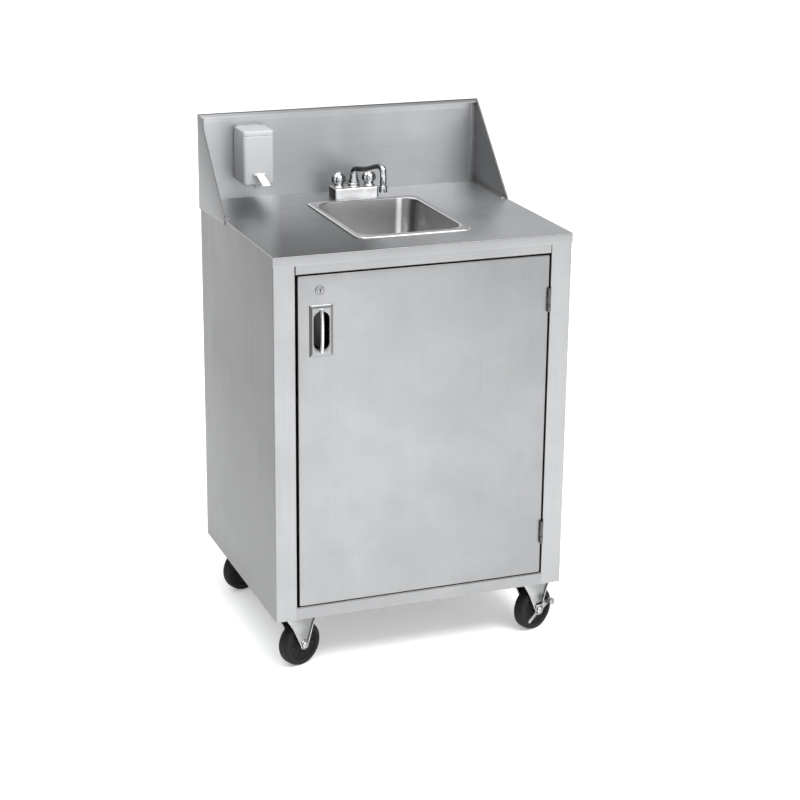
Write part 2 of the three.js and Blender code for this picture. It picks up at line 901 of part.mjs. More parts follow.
// A lobed knob: rings that swell and close like a flower head.
function knob(side) {
  const foot = faucetTop + hubRise + clearance;
  const sides = knobLobes * 6;
  const stations = knobProfileShares.map(([radiusShare, heightShare]) => {
    const outline = disc([0, 0], 1, sides).map(([a, b], i) => {
      const lobe = 1 + knobLobeShare * Math.cos((2 * Math.PI * knobLobes * i) / sides);
      const radius = (knobRadius * radiusShare * lobe) / (1 + knobLobeShare);
      return [handleX(side) + a * radius, faucetY + b * radius];
    });
    return [outline, foot + knobHeight * heightShare];
  });
  return loft(stations, 'z');
}

// Soap dispenser

function dispenserTank() {
  const middle = [dispenserX, (dispenserFront + splashFace) / 2];
  const [halfX, halfY] = [dispenserWidth / 2, dispenserDepth / 2];
  const shellOutline = roundedOutline(middle, halfX, halfY, dispenserCorner);
  const shell = prism(shellOutline, 'z', dispenserBottom, tankRimHeight);
  const rearWall = splashFace - lidAxisY + dispenserWall;
  const cavityFront = dispenserFront + dispenserWall;
  const cavityRear = splashFace - rearWall;
  const cavity = prism(
    roundedOutline(
      [dispenserX, (cavityFront + cavityRear) / 2],
      halfX - dispenserWall, (cavityRear - cavityFront) / 2, dispenserCorner - dispenserWall,
    ),
    'z', dispenserBottom + dispenserFloor, dispenserTop,
  );
  const hingeBlock = block(
    [dispenserX - halfX + dispenserCorner, dispenserX + halfX - dispenserCorner],
    [lidAxisY + lidThickness / 2 + clearance, splashFace],
    [tankRimHeight - overrun, dispenserTop],
  );
  const lug = (side) => {
    const start = dispenserX + side * (leverWidth / 2 + clearance);
    const outline = [
      [dispenserFront + dispenserWall / 2, leverAxisZ + leverEyeRadius],
      [leverAxisY, leverAxisZ + leverEyeRadius],
      ...arc([leverAxisY, leverAxisZ], leverEyeRadius, 90, 270, cornerSteps),
      [dispenserFront + dispenserWall / 2, leverAxisZ - leverEyeRadius],
    ];
    return prism(outline, 'x', start, start + side * leverLugWidth);
  };
  return join(cut(shell, cavity), hingeBlock, lug(-1), lug(1));
}

function dispenserLid() {
  const halfX = dispenserWidth / 2;
  const reach = halfX - dispenserCorner;
  const cornerY = dispenserFront + dispenserCorner;
  const outline = [
    ...arc([dispenserX - reach, cornerY], dispenserCorner, 180, 270, cornerSteps),
    ...arc([dispenserX + reach, cornerY], dispenserCorner, 270, 360, cornerSteps),
    [dispenserX + halfX, lidAxisY],
    [dispenserX - halfX, lidAxisY],
  ];
  const top = prism(outline, 'z', dispenserTop - lidThickness, dispenserTop);
  const knuckle = rod('x', [dispenserX, lidAxisY, lidAxisZ], lidThickness / 2, -halfX, halfX, roundSides);
  return join(top, knuckle);
}

function dispenserValve() {
  const nose = -valveLength * valveNoseShare;
  const profile = [
    [0, -clearance],
    [valveRadius, -clearance],
    [valveRadius, nose],
    [valveNoseRadius, nose - valveNoseRadius / 2],
    [valveNoseRadius, -valveLength],
    [0, -valveLength],
  ];
  return turned(profile, 'z', [dispenserX, dispenserFront + valveSetback, dispenserBottom], roundSides);
}

// The push lever hangs from its pin between two lugs and slopes forwards and down.
function dispenserLever() {
  const tip = [leverAxisY - leverReach, leverAxisZ - leverDrop];
  const slope = new THREE.Vector2(-leverReach, -leverDrop).normalize();
  const half = leverThickness / 2;
  const outline = [
    [leverAxisY + slope.y * half, leverAxisZ - slope.x * half],
    [tip[0] + slope.y * half, tip[1] - slope.x * half],
    [tip[0] + slope.x * half, tip[1] + slope.y * half],
    [tip[0] - slope.y * half, tip[1] + slope.x * half],
    [leverAxisY - slope.y * half, leverAxisZ + slope.x * half],
  ];
  const span = leverWidth / 2;
  const paddle = prism(outline, 'x', dispenserX - span, dispenserX + span);
  const eye = rod('x', [dispenserX, leverAxisY, leverAxisZ], leverEyeRadius, -span, span);
  return join(paddle, eye);
}

// Door

function doorSkin() {
  const shell = block([doorLeft, doorRight], [front, front + doorDepth - sheet], [doorBottom, doorTop]);
  const hollow = block(
    [doorLeft + sheet, doorRight - sheet],
    [front + sheet, front + doorDepth],
    [doorBottom + sheet, doorTop - sheet],
  );
  const grow = pullWall + clearance;
  const pullHole = prism(wellOutline(grow), 'y', front - overrun, front + overrun);
  return cut(shell, hollow, pullHole, lockHole());
}

function doorLiner() {
  const rear = front + doorDepth;
  return cut(block([doorLeft, doorRight], [rear - sheet, rear], [doorBottom, doorTop]), lockHole());
}

function lockHole() {
  const radius = lockBarrelRadius + clearance;
  return rod('y', [lockX(), 0, lockZ()], radius, front - overrun, front + doorDepth + overrun, roundSides);
}

function lockX() {
  return doorLeft + lockFromEdge;
}

function lockZ() {
  return doorTop - lockBelowTop;
}

function wellOutline(grow) {
  const [halfX, halfZ] = [wellWidth / 2 + grow, wellHeight / 2 + grow];
  const middle = [doorLeft + pullFromEdge, doorTop - pullBelowTop];
  return roundedOutline(middle, halfX, halfZ, halfX, fineCornerSteps);
}

// The pull is one casting: a bevelled plate, a cup behind it and an upright grip that bows out of the well.
function doorPull() {
  const [x, z] = [doorLeft + pullFromEdge, doorTop - pullBelowTop];
  const [halfX, halfZ] = [pullWidth / 2, pullHeight / 2];
  const face = front - pullRise;
  const plateRing = (inset, y) => [
    roundedOutline([x, z], halfX - inset, halfZ - inset, pullCorner, roughCornerSteps), y,
  ];
  const plate = loft([
    plateRing(0, front),
    plateRing(pullBevel / 4, front - pullRise / 2),
    plateRing(pullBevel, face),
  ], 'y');
  const cup = loft([
    [wellOutline(pullWall), front - pullRise / 2],
    [wellOutline(pullWall), front + wellDepth / 2],
    [wellOutline(pullWall - wellDraft), front + wellDepth + pullWall],
  ], 'y');
  const well = loft([
    [wellOutline(clearance), face - overrun],
    [wellOutline(clearance), face],
    [wellOutline(0), front],
    [wellOutline(-wellDraft), front + wellDepth],
  ], 'y');
  const root = wellHeight / 2 + gripRooting;
  const bow = face - gripBow;
  const upperHalf = [[1, face + gripRadius], [gripShoulderShare, (face + bow) / 2], [gripMiddleShare, bow]];
  const grip = tube([
    ...upperHalf.map(([share, y]) => [x, y, z + root * share]),
    ...upperHalf.reverse().map(([share, y]) => [x, y, z - root * share]),
  ], gripRadius, barSides, hoseSteps);
  const bar = solid(grip).intersect(solid(block(
    [x - halfX, x + halfX], [face - overrun - gripBow - gripRadius, front], [z - halfZ, z + halfZ],
  )));
  return join(cut(join(plate, cup), well), bar);
}

function lockBody() {
  const [near, far] = [front, front + doorDepth];
  const bore = lockPlugRadius + clearance;
  const profile = [
    [bore, near - lockFlangeRise],
    [lockFlangeRadius - lockFlangeRise / 2, near - lockFlangeRise],
    [lockFlangeRadius, near - lockFlangeRise / 2],
    [lockFlangeRadius, near],
    [lockBarrelRadius, near],
    [lockBarrelRadius, far],
    [lockNutRadius, far],
    [lockNutRadius, far + lockNutThickness],
    [bore, far + lockNutThickness],
    [bore, near - lockFlangeRise],
  ];
  return turned(profile, 'y', [lockX(), 0, lockZ()], roundSides);
}

function lockPlug() {
  const near = front - lockFlangeRise;
  const far = front + doorDepth + lockNutThickness + clearance;
  const plug = rod('y', [lockX(), 0, lockZ()], lockPlugRadius, near, far + camThickness, roundSides);
  const cam = prism([
    ...arc([lockX(), lockZ()], camWidth / 2 + camThickness, 60, 300, barSides),
    ...arc([lockX() + camReach - camWidth / 2, lockZ()], camWidth / 2, -90, 90, cornerSteps),
  ], 'y', far, far + camThickness);
  const slot = block(
    [lockX() - keySlotWidth / 2, lockX() + keySlotWidth / 2],
    [near - overrun, near + keySlotDepth],
    [lockZ() - keySlotHeight / 2, lockZ() + keySlotHeight / 2],
  );
  return cut(join(plug, cam), slot);
}

function hingeZ(end) {
  return end === 'top' ? doorTop - hingeInset : doorBottom + hingeInset;
}

// The frame leaf carries the pin and the outer two knuckles.
function frameLeaf(end) {
  const half = hingeHeight / 2;
  const inner = hingeHeight * knuckleShare / 2;
  const z = hingeZ(end);
  const plateX = right - stileWidth;
  const leaf = block([plateX - sheet, plateX], [hingeY, front + hingeLeafDepth], [z - half, z + half]);
  const window = block(
    [hingeX - knuckleRadius * 2, plateX + overrun],
    [hingeY - knuckleRadius * 2, front + clearance],
    [z - inner - clearance, z + inner + clearance],
  );
  const knuckles = rod('z', [hingeX, hingeY, z], knuckleRadius, -half, half, smallSides);
  const pin = rod('z', [hingeX, hingeY, z], hingePinRadius, -half, half, smallSides);
  return join(cut(join(leaf, knuckles), window), pin);
}

function doorLeaf(end) {
  const half = hingeHeight / 2;
  const inner = hingeHeight * knuckleShare / 2;
  const z = hingeZ(end);
  const leaf = block([doorRight, doorRight + sheet], [hingeY, front + hingeLeafDepth], [z - half, z + half]);
  const trim = (from, to) => block(
    [doorRight - overrun, hingeX + knuckleRadius * 2],
    [hingeY - knuckleRadius * 2, front + clearance],
    [from, to],
  );
  const knuckle = rod('z', [hingeX, hingeY, z], knuckleRadius, -inner, inner, smallSides);
  const bore = rod('z', [hingeX, hingeY, z], hingePinRadius + clearance, -half, half, smallSides);
  const upper = trim(z + inner, z + half + overrun);
  const lower = trim(z - half - overrun, z - inner);
  return cut(join(leaf, knuckle), upper, lower, bore);
}

// Tanks and plumbing

function tankTop(tank) {
  return panTop + tank.height;
}

function waterTank(tank) {
  const [halfX, halfY] = [tank.width / 2, tank.depth / 2];
  const top = tankTop(tank);
  const ring = (inset, z) => [
    roundedOutline([tank.x, tank.y], halfX - inset, halfY - inset, tankCorner - inset / 2), z,
  ];
  const body = loft([
    ring(tankEdge, panTop),
    ring(0, panTop + tankEdge),
    ring(0, top - tankShoulder),
    ring(tankEdge / 2, top - tankEdge / 2),
    ring(tankCrownInset, top),
  ], 'z');
  const neck = rod('z', [tank.x + tank.neckX, tank.y + tank.neckY, top], tank.neckRadius,
    -tankShoulder, neckHeight, roundSides);
  const y = tank.y + tank.handleY;
  const half = tankHandleSpan / 2;
  const handle = tube([
    [tank.x - half, y, top - tankEdge],
    [tank.x - half, y, top + tankHandleRise - tankHandleBend],
    [tank.x - half + tankHandleBend, y, top + tankHandleRise],
    [tank.x + half - tankHandleBend, y, top + tankHandleRise],
    [tank.x + half, y, top + tankHandleRise - tankHandleBend],
    [tank.x + half, y, top - tankEdge],
  ], tankHandleRadius, barSides, hoseSteps);
  return join(body, neck, handle);
}

// A screw cap: a cup over the neck with a stub on top for its hose.
function tankCap(tank, stubRadius, stubHeight) {
  const top = tankTop(tank);
  const bore = tank.neckRadius + clearance;
  const crown = top + neckHeight + clearance;
  const profile = [
    [0, crown],
    [bore, crown],
    [bore, top + clearance],
    [bore + capWall, top + clearance],
    [bore + capWall, crown + capTop / 2],
    [bore, crown + capTop],
    [stubRadius, crown + capTop],
    [stubRadius, crown + capTop + stubHeight],
    [0, crown + capTop + stubHeight],
  ];
  return turned(profile, 'z', [tank.x + tank.neckX, tank.y + tank.neckY, 0], roundSides);
}

function capTopZ(tank) {
  return tankTop(tank) + neckHeight + clearance + capTop;
}

const pumpAxisY = backInner - pumpFootThickness - pumpMotorRadius;
const pumpHeadX = pumpX - pumpMotorLength / 2 - pumpHeadWidth / 2;

// The pump's motor lies in two saddles, with the pump head and its ports at one end.
function waterPump() {
  const halfLength = pumpMotorLength / 2;
  const axis = [pumpX, pumpAxisY, pumpZ];
  const motor = rod('x', axis, pumpMotorRadius, -halfLength, halfLength, roundSides);
  const cap = rod('x', axis, motorCapRadius, halfLength - overrun, halfLength + motorCapLength, roundSides);
  const head = prism(
    roundedOutline([pumpAxisY, pumpZ], pumpHeadDepth / 2, pumpHeadHeight / 2, pumpFootThickness * 2),
    'x', pumpHeadX - pumpHeadWidth / 2, pumpHeadX + pumpHeadWidth / 2 + clearance,
  );
  const foot = (x) => block(
    [x - pumpFootWidth / 2, x + pumpFootWidth / 2],
    [pumpAxisY, backInner],
    [pumpZ - pumpFootHeight / 2, pumpZ + pumpFootHeight / 2],
  );
  const relief = (x, side) => block(
    [x - pumpFootWidth, x + pumpFootWidth],
    [pumpAxisY - overrun, backInner - pumpFootThickness],
    [pumpZ + side * pumpMotorRadius * saddleShare, pumpZ + side * pumpFootHeight],
  );
  const saddle = (x) => cut(foot(x), relief(x, -1), relief(x, 1));
  const half = pumpHeadHeight / 2;
  return join(
    motor, cap, head, saddle(pumpX - pumpMotorLength / 4), saddle(pumpX + pumpMotorLength / 3),
    barb([pumpHeadX, pumpAxisY, pumpZ - half], -1), supplyTee(),
  );
}

const teeBottom = pumpZ + pumpHeadHeight / 2;

// The tee screwed into the pump's outlet: its run feeds the cold tap and its branch the heater.
function supplyTee() {
  const run = rod('z', [pumpHeadX, pumpAxisY, teeBottom], teeRadius, -clearance, teeHeight);
  const branch = rod('x', [pumpHeadX, pumpAxisY, teeBottom + teeHeight / 2], teeRadius, -teeBranch, 0);
  return join(run, branch);
}

const heaterAxisY = backInner - heaterPortDepth;
const heaterTop = heaterBottom + heaterHeight;
const heaterPortX = heaterX + heaterWidth / 2 - heaterPortInset;

function waterHeater() {
  const middle = [heaterX, backInner - heaterDepth / 2];
  const ring = (inset, z) => [
    roundedOutline(middle, heaterWidth / 2 - inset, heaterDepth / 2, heaterCorner - inset), z,
  ];
  const body = loft([
    ring(heaterEdge, heaterBottom),
    ring(0, heaterBottom + heaterEdge),
    ring(0, heaterTop - heaterEdge),
    ring(heaterEdge, heaterTop),
  ], 'z');
  return join(
    body, barb([heaterPortX, heaterAxisY, heaterTop], 1), barb([heaterPortX, heaterAxisY, heaterBottom], -1),
  );
}

const shankEnd = counterHeight - shankLength - clearance;

// Hand-placed routes. Their ends come from the ports that they meet.
function hoses() {
  const cap = [freshTank.x + freshTank.neckX, freshTank.y + freshTank.neckY, capTopZ(freshTank) + barbLength];
  const pumpIn = pumpZ - pumpHeadHeight / 2 - barbLength - clearance;
  const heaterIn = heaterBottom - barbLength - clearance;
  const heaterOut = heaterTop + barbLength + clearance;
  const teeTop = teeBottom + teeHeight + clearance;
  const branchX = pumpHeadX - teeBranch - clearance;
  const branchZ = teeBottom + teeHeight / 2;
  const drainEnd = bowlFloor - drainCupDepth - tailLength - clearance;
  const wasteX = wasteTank.x + wasteTank.neckX;
  const wasteY = wasteTank.y + wasteTank.neckY;
  const wasteEnd = capTopZ(wasteTank) + barbLength + clearance;
  return {
    suction: [
      [cap[0], cap[1], cap[2] + clearance], [cap[0], cap[1], cap[2] + capLead],
      [(cap[0] + pumpHeadX) / 2, (cap[1] + pumpAxisY) / 2, pumpIn - suctionSag],
      [pumpHeadX, pumpAxisY, pumpIn - pumpLead], [pumpHeadX, pumpAxisY, pumpIn],
    ],
    cold: [
      [pumpHeadX, pumpAxisY, teeTop], [pumpHeadX, pumpAxisY, teeTop + teeLead],
      [(pumpHeadX + handleX(1)) / 2, (pumpAxisY + faucetY) / 2, teeTop + coldRise],
      [handleX(1), faucetY, shankEnd - coldLead], [handleX(1), faucetY, shankEnd],
    ],
    feed: [
      [branchX, pumpAxisY, branchZ], [branchX - branchLead, pumpAxisY, branchZ],
      [(branchX + heaterPortX) / 2, pumpAxisY, heaterIn + feedRise],
      [heaterPortX + feedSide, heaterAxisY, heaterIn - feedSag],
      [heaterPortX, heaterAxisY, heaterIn - feedLead],
      [heaterPortX, heaterAxisY, heaterIn],
    ],
    hot: [
      [heaterPortX, heaterAxisY, heaterOut], [heaterPortX, heaterAxisY, heaterOut + hotStart],
      [(heaterPortX + handleX(-1)) / 2, (heaterAxisY + faucetY) / 2, heaterOut + hotLead],
      [handleX(-1), faucetY, shankEnd - hotLead], [handleX(-1), faucetY, shankEnd],
    ],
    drain: [
      [basinX, basinY, drainEnd], [basinX, basinY, drainEnd - drainLead],
      [(basinX + wasteX) / 2, (basinY + wasteY) / 2, (drainEnd + wasteEnd) / 2],
      [wasteX, wasteY, wasteEnd + drainLead], [wasteX, wasteY, wasteEnd],
    ],
  };
}

// A flanged inlet: the socket that a supply lead pushes into, with its three contacts.
function powerInlet() {
  const half = inletFlange / 2;
  const centre = [inletX, 0, inletZ];
  const mouth = back + inletFlangeThickness;
  const flange = prism(
    roundedOutline([inletX, inletZ], half, half, inletFlangeCorner), 'y', back, mouth,
  );
  const body = rod('y', centre, inletBodyRadius, mouth - inletDepth, back + clearance, roundSides);
  const socket = rod('y', centre, inletBore, mouth - inletBoreDepth, mouth + overrun, roundSides);
  const floor = mouth - inletBoreDepth;
  const bladeX = (side) => inletX + (side * bladeSpacing) / 2;
  const blade = (side) => block(
    [bladeX(side) - bladeThickness / 2, bladeX(side) + bladeThickness / 2],
    [floor - clearance, floor + bladeLength],
    [inletZ, inletZ + bladeWidth],
  );
  const pinCentre = [inletX, 0, inletZ - groundPinDrop];
  const pin = rod('y', pinCentre, groundPinRadius, floor - clearance, floor + bladeLength, barSides);
  return join(cut(join(flange, body), socket), blade(-1), blade(1), pin);
}

// Casters

const axleHeight = wheelDiameter / 2;
const raceBottom = panUnder - plateThickness - raceHeight;
const forkTop = raceBottom - clearance;
const legInner = wheelWidth / 2 + forkSideClear;
const legOuter = legInner + forkLeg + forkRim;

function casterPlate([x, y]) {
  const [halfX, halfY] = [plateLength / 2, plateWidth / 2];
  const under = panUnder - plateThickness;
  const outline = roundedOutline([x, y], halfX, halfY, plateCorner, roughCornerSteps);
  const plate = prism(outline, 'z', under, panUnder);
  const race = rod('z', [x, y, 0], raceRadius, raceBottom, under, roundSides);
  const hole = (sx, sy) => {
    const centre = [x + sx * (halfX - plateHoleInset), y + sy * (halfY - plateHoleInset), under];
    return rod('z', centre, plateHoleRadius, -overrun, overrun, nutSides);
  };
  return cut(join(plate, race), hole(-1, -1), hole(1, -1), hole(1, 1), hole(-1, 1));
}

// What turns on a kingpin is made about the kingpin's axis, with the axle straight out to the right.
// One fork leg's outline: broad under the crown, hollow-sided, and round about the axle.
function legOutline(inset) {
  const tip = forkTipRadius - inset;
  const lead = inset - forkLead;
  const tail = forkTailReach - inset;
  const top = forkTop - inset;
  const waist = axleHeight + (forkTop - axleHeight) * forkWaistShare;
  const tipArc = arc([casterTrail, axleHeight], tip, 180, 360, fineCornerSteps);
  const between = (outer, inner) => outer + (inner - outer) * forkPinchShare;
  return [
    [lead, top],
    [between(lead, casterTrail - tip), waist],
    ...tipArc,
    [between(tail, casterTrail + tip), waist],
    [tail, top],
  ];
}

function casterFork() {
  const race = rod('z', [0, 0, 0], raceRadius, forkTop - forkCrown, forkTop, roundSides);
  const crownHalf = legInner + forkLeg;
  const crown = block([-forkLead, forkTailReach], [-crownHalf, crownHalf], [forkTop - forkCrown, forkTop]);
  const leg = (face) => {
    const plate = prism(legOutline(0), 'y', face * legInner, face * legOuter);
    const hollow = prism(legOutline(forkRimWidth), 'y', face * crownHalf, face * (legOuter + overrun));
    const boss = rod('y', [casterTrail, 0, axleHeight], forkTipRadius - clearance,
      face * legInner, face * legOuter, smallSides);
    return join(cut(plate, hollow), boss);
  };
  const boreEnd = legOuter + overrun;
  const bore = rod('y', [casterTrail, 0, axleHeight], axleRadius + clearance, -boreEnd, boreEnd);
  return cut(join(race, crown, leg(-1), leg(1)), bore);
}

function casterWheel() {
  const radius = wheelDiameter / 2;
  const half = wheelWidth / 2;
  const bore = axleRadius + clearance;
  const rim = radius * webRimShare;
  const hub = radius * hubShare;
  const profile = [
    [bore, half],
    [hub, half],
    [hub + webInset / 2, half - webInset],
    [rim - webInset / 2, half - webInset],
    [rim, half - clearance],
    [radius - treadShoulder, half - clearance],
    [radius, half - treadShoulder],
  ];
  const mirrored = profile.map(([r, h]) => [r, -h]).reverse();
  const centre = [casterTrail, 0, axleHeight];
  return turned([...profile, ...mirrored, profile[0]], 'y', centre, wheelSides);
}

function casterAxle(braked) {
  const near = -legOuter - clearance - (braked ? brakeThickness + clearance : 0);
  const far = legOuter + clearance;
  const profile = [
    [0, near - boltHeadThickness],
    [boltHeadRadius * boltCrownShare, near - boltHeadThickness],
    [boltHeadRadius, near - boltHeadThickness / 2],
    [boltHeadRadius, near],
    [axleRadius, near],
    [axleRadius, far],
    [boltHeadRadius, far],
    [boltHeadRadius, far + boltHeadThickness],
    [0, far + boltHeadThickness],
  ];
  return turned(profile, 'y', [casterTrail, 0, axleHeight], smallSides);
}

// A side brake: an eye round the axle bolt, a slim toe below and a pedal tab turned out above.
function casterBrake() {
  const centre = [casterTrail, axleHeight];
  const at = (dx, dz) => [centre[0] + dx, centre[1] + dz];
  const far = -legOuter - clearance;
  const near = far - brakeThickness;
  const strip = (target, width) => {
    const along = new THREE.Vector2(target[0] - centre[0], target[1] - centre[1]).normalize();
    const [sx, sz] = [(-along.y * width) / 2, (along.x * width) / 2];
    return prism([
      [centre[0] + sx, centre[1] + sz],
      [centre[0] - sx, centre[1] - sz],
      [target[0] - sx, target[1] - sz],
      [target[0] + along.x * width * brakeTipShare, target[1] + along.y * width * brakeTipShare],
      [target[0] + sx, target[1] + sz],
    ], 'y', near, far);
  };
  const toe = strip(at(brakeToeX, brakeToeZ), brakeArmWidth);
  const arm = strip(at(brakeTabX, brakeTabZ), brakeTabWidth);
  const tabMiddle = at(brakeTabX, brakeTabZ);
  const tab = prism(
    roundedOutline(tabMiddle, brakeTabWidth / 2, brakeTabWidth / 2, brakeTabWidth / 4, roughCornerSteps),
    'y', near - brakeTabOut, far,
  );
  const eye = rod('y', [centre[0], 0, centre[1]], brakeEyeRadius, near, far, roundSides);
  const bore = rod('y', [centre[0], 0, centre[1]], axleRadius + clearance, near - overrun, far + overrun);
  return cut(join(eye, toe, arm, tab), bore);
}

// The whole object

const group = new THREE.Group();

group.add(
  piece('left_side_panel', brushedSteel, sidePanel(-1)),
  piece('right_side_panel', brushedSteel, sidePanel(1)),
  piece('back_panel', brushedSteel, backPanel()),
  piece('bottom_pan', brushedSteel, bottomPan()),
  piece('top_rail', brushedSteel, rail(counterUnder, openingTop)),
  piece('bottom_rail', brushedSteel, rail(skirtHeight, openingBottom)),
  piece('countertop', brushedSteel, countertop()),
  piece('back_splash', brushedSteel, backSplash()),
  piece('left_side_splash', brushedSteel, sideSplash(-1)),
  piece('right_side_splash', brushedSteel, sideSplash(1)),
  piece('basin', polishedSteel, basin()),
  piece('drain_fitting', polishedSteel, drainFitting()),
  piece('faucet_base', chrome, faucetBase()),
  piece('faucet_spout', chrome, spout()),
  piece('faucet_aerator', chrome, aerator()),
  piece('hot_handle', chrome, knob(-1)),
  piece('cold_handle', chrome, knob(1)),
);

group.add(
  piece('dispenser_tank', greyPlastic, dispenserTank()),
  piece('dispenser_lid', greyPlastic, dispenserLid()),
  piece('dispenser_valve', whitePlastic, dispenserValve()),
  piece('dispenser_lever', whitePlastic, dispenserLever()),
);

group.add(
  piece('door_skin', brushedSteel, doorSkin()),
  piece('door_liner', brushedSteel, doorLiner()),
  piece('door_pull', chrome, doorPull()),
  piece('lock_body', chrome, lockBody()),
  piece('lock_plug', chrome, lockPlug()),
);

for (const end of ['top', 'bottom']) {
  group.add(
    piece(`${end}_hinge_frame_leaf`, brushedSteel, frameLeaf(end)),
    piece(`${end}_hinge_door_leaf`, brushedSteel, doorLeaf(end)),
  );
}

group.add(
  piece('fresh_tank', tankPlastic, waterTank(freshTank)),
  piece('fresh_tank_cap', darkPlastic, tankCap(freshTank, barbRadius, barbLength)),
  piece('waste_tank', tankPlastic, waterTank(wasteTank)),
  piece('waste_tank_cap', darkPlastic, tankCap(wasteTank, drainHoseRadius, barbLength)),
  piece('water_pump', darkPlastic, waterPump()),
  piece('water_heater', heaterShell, waterHeater()),
  piece('power_inlet', darkPlastic, powerInlet()),
);

const routes = hoses();
group.add(
  piece('suction_hose', clearHose, tube(routes.suction, hoseRadius, barSides, hoseSteps)),
  piece('cold_hose', clearHose, tube(routes.cold, hoseRadius, barSides, hoseSteps)),
  piece('heater_feed_hose', clearHose, tube(routes.feed, hoseRadius, barSides, hoseSteps)),
  piece('hot_hose', clearHose, tube(routes.hot, hoseRadius, barSides, hoseSteps)),
  piece('drain_hose', drainRubber, tube(routes.drain, drainHoseRadius, smallSides, hoseSteps)),
);

const casters = [
  { name: 'front_left', side: -1, y: front + casterFrontInset, braked: false },
  { name: 'front_right', side: 1, y: front + casterFrontInset, braked: true },
  { name: 'rear_left', side: -1, y: back - casterRearInset, braked: false },
  { name: 'rear_right', side: 1, y: back - casterRearInset, braked: true },
];

for (const { name, side, y, braked } of casters) {
  const kingpin = [side * (right - casterSideInset), y];
  const swung = (shape) => geometryOf(shape).rotateZ(casterSwing).translate(...kingpin, 0);
  group.add(
    piece(`${name}_caster_plate`, zincPlate, casterPlate(kingpin)),
    piece(`${name}_caster_fork`, zincPlate, swung(casterFork())),
    piece(`${name}_caster_wheel`, blackRubber, swung(casterWheel())),
    piece(`${name}_caster_axle`, zincPlate, swung(casterAxle(braked))),
  );
  if (braked) group.add(piece(`${name}_caster_brake`, zincPlate, swung(casterBrake())));
}

export default group;
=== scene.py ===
# Portable handwash sink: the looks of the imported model. All sizes below are millimetres of the same
# frame (+Z up, front towards -Y); the mesh helpers turn them into metres.
import bmesh
import bpy
import math
from mathutils import Matrix, Vector


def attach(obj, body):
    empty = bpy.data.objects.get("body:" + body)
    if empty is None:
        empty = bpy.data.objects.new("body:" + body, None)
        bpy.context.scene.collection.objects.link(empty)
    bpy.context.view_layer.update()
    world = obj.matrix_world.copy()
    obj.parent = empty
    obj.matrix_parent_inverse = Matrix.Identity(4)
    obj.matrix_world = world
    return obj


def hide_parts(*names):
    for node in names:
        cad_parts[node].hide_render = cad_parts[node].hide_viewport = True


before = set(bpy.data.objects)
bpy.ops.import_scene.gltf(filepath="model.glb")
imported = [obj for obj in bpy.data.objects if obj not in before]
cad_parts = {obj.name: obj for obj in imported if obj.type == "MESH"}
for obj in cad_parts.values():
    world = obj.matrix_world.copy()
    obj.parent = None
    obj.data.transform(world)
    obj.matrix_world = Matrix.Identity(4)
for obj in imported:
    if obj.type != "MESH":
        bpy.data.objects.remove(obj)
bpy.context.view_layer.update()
M = 0.001

# Materials


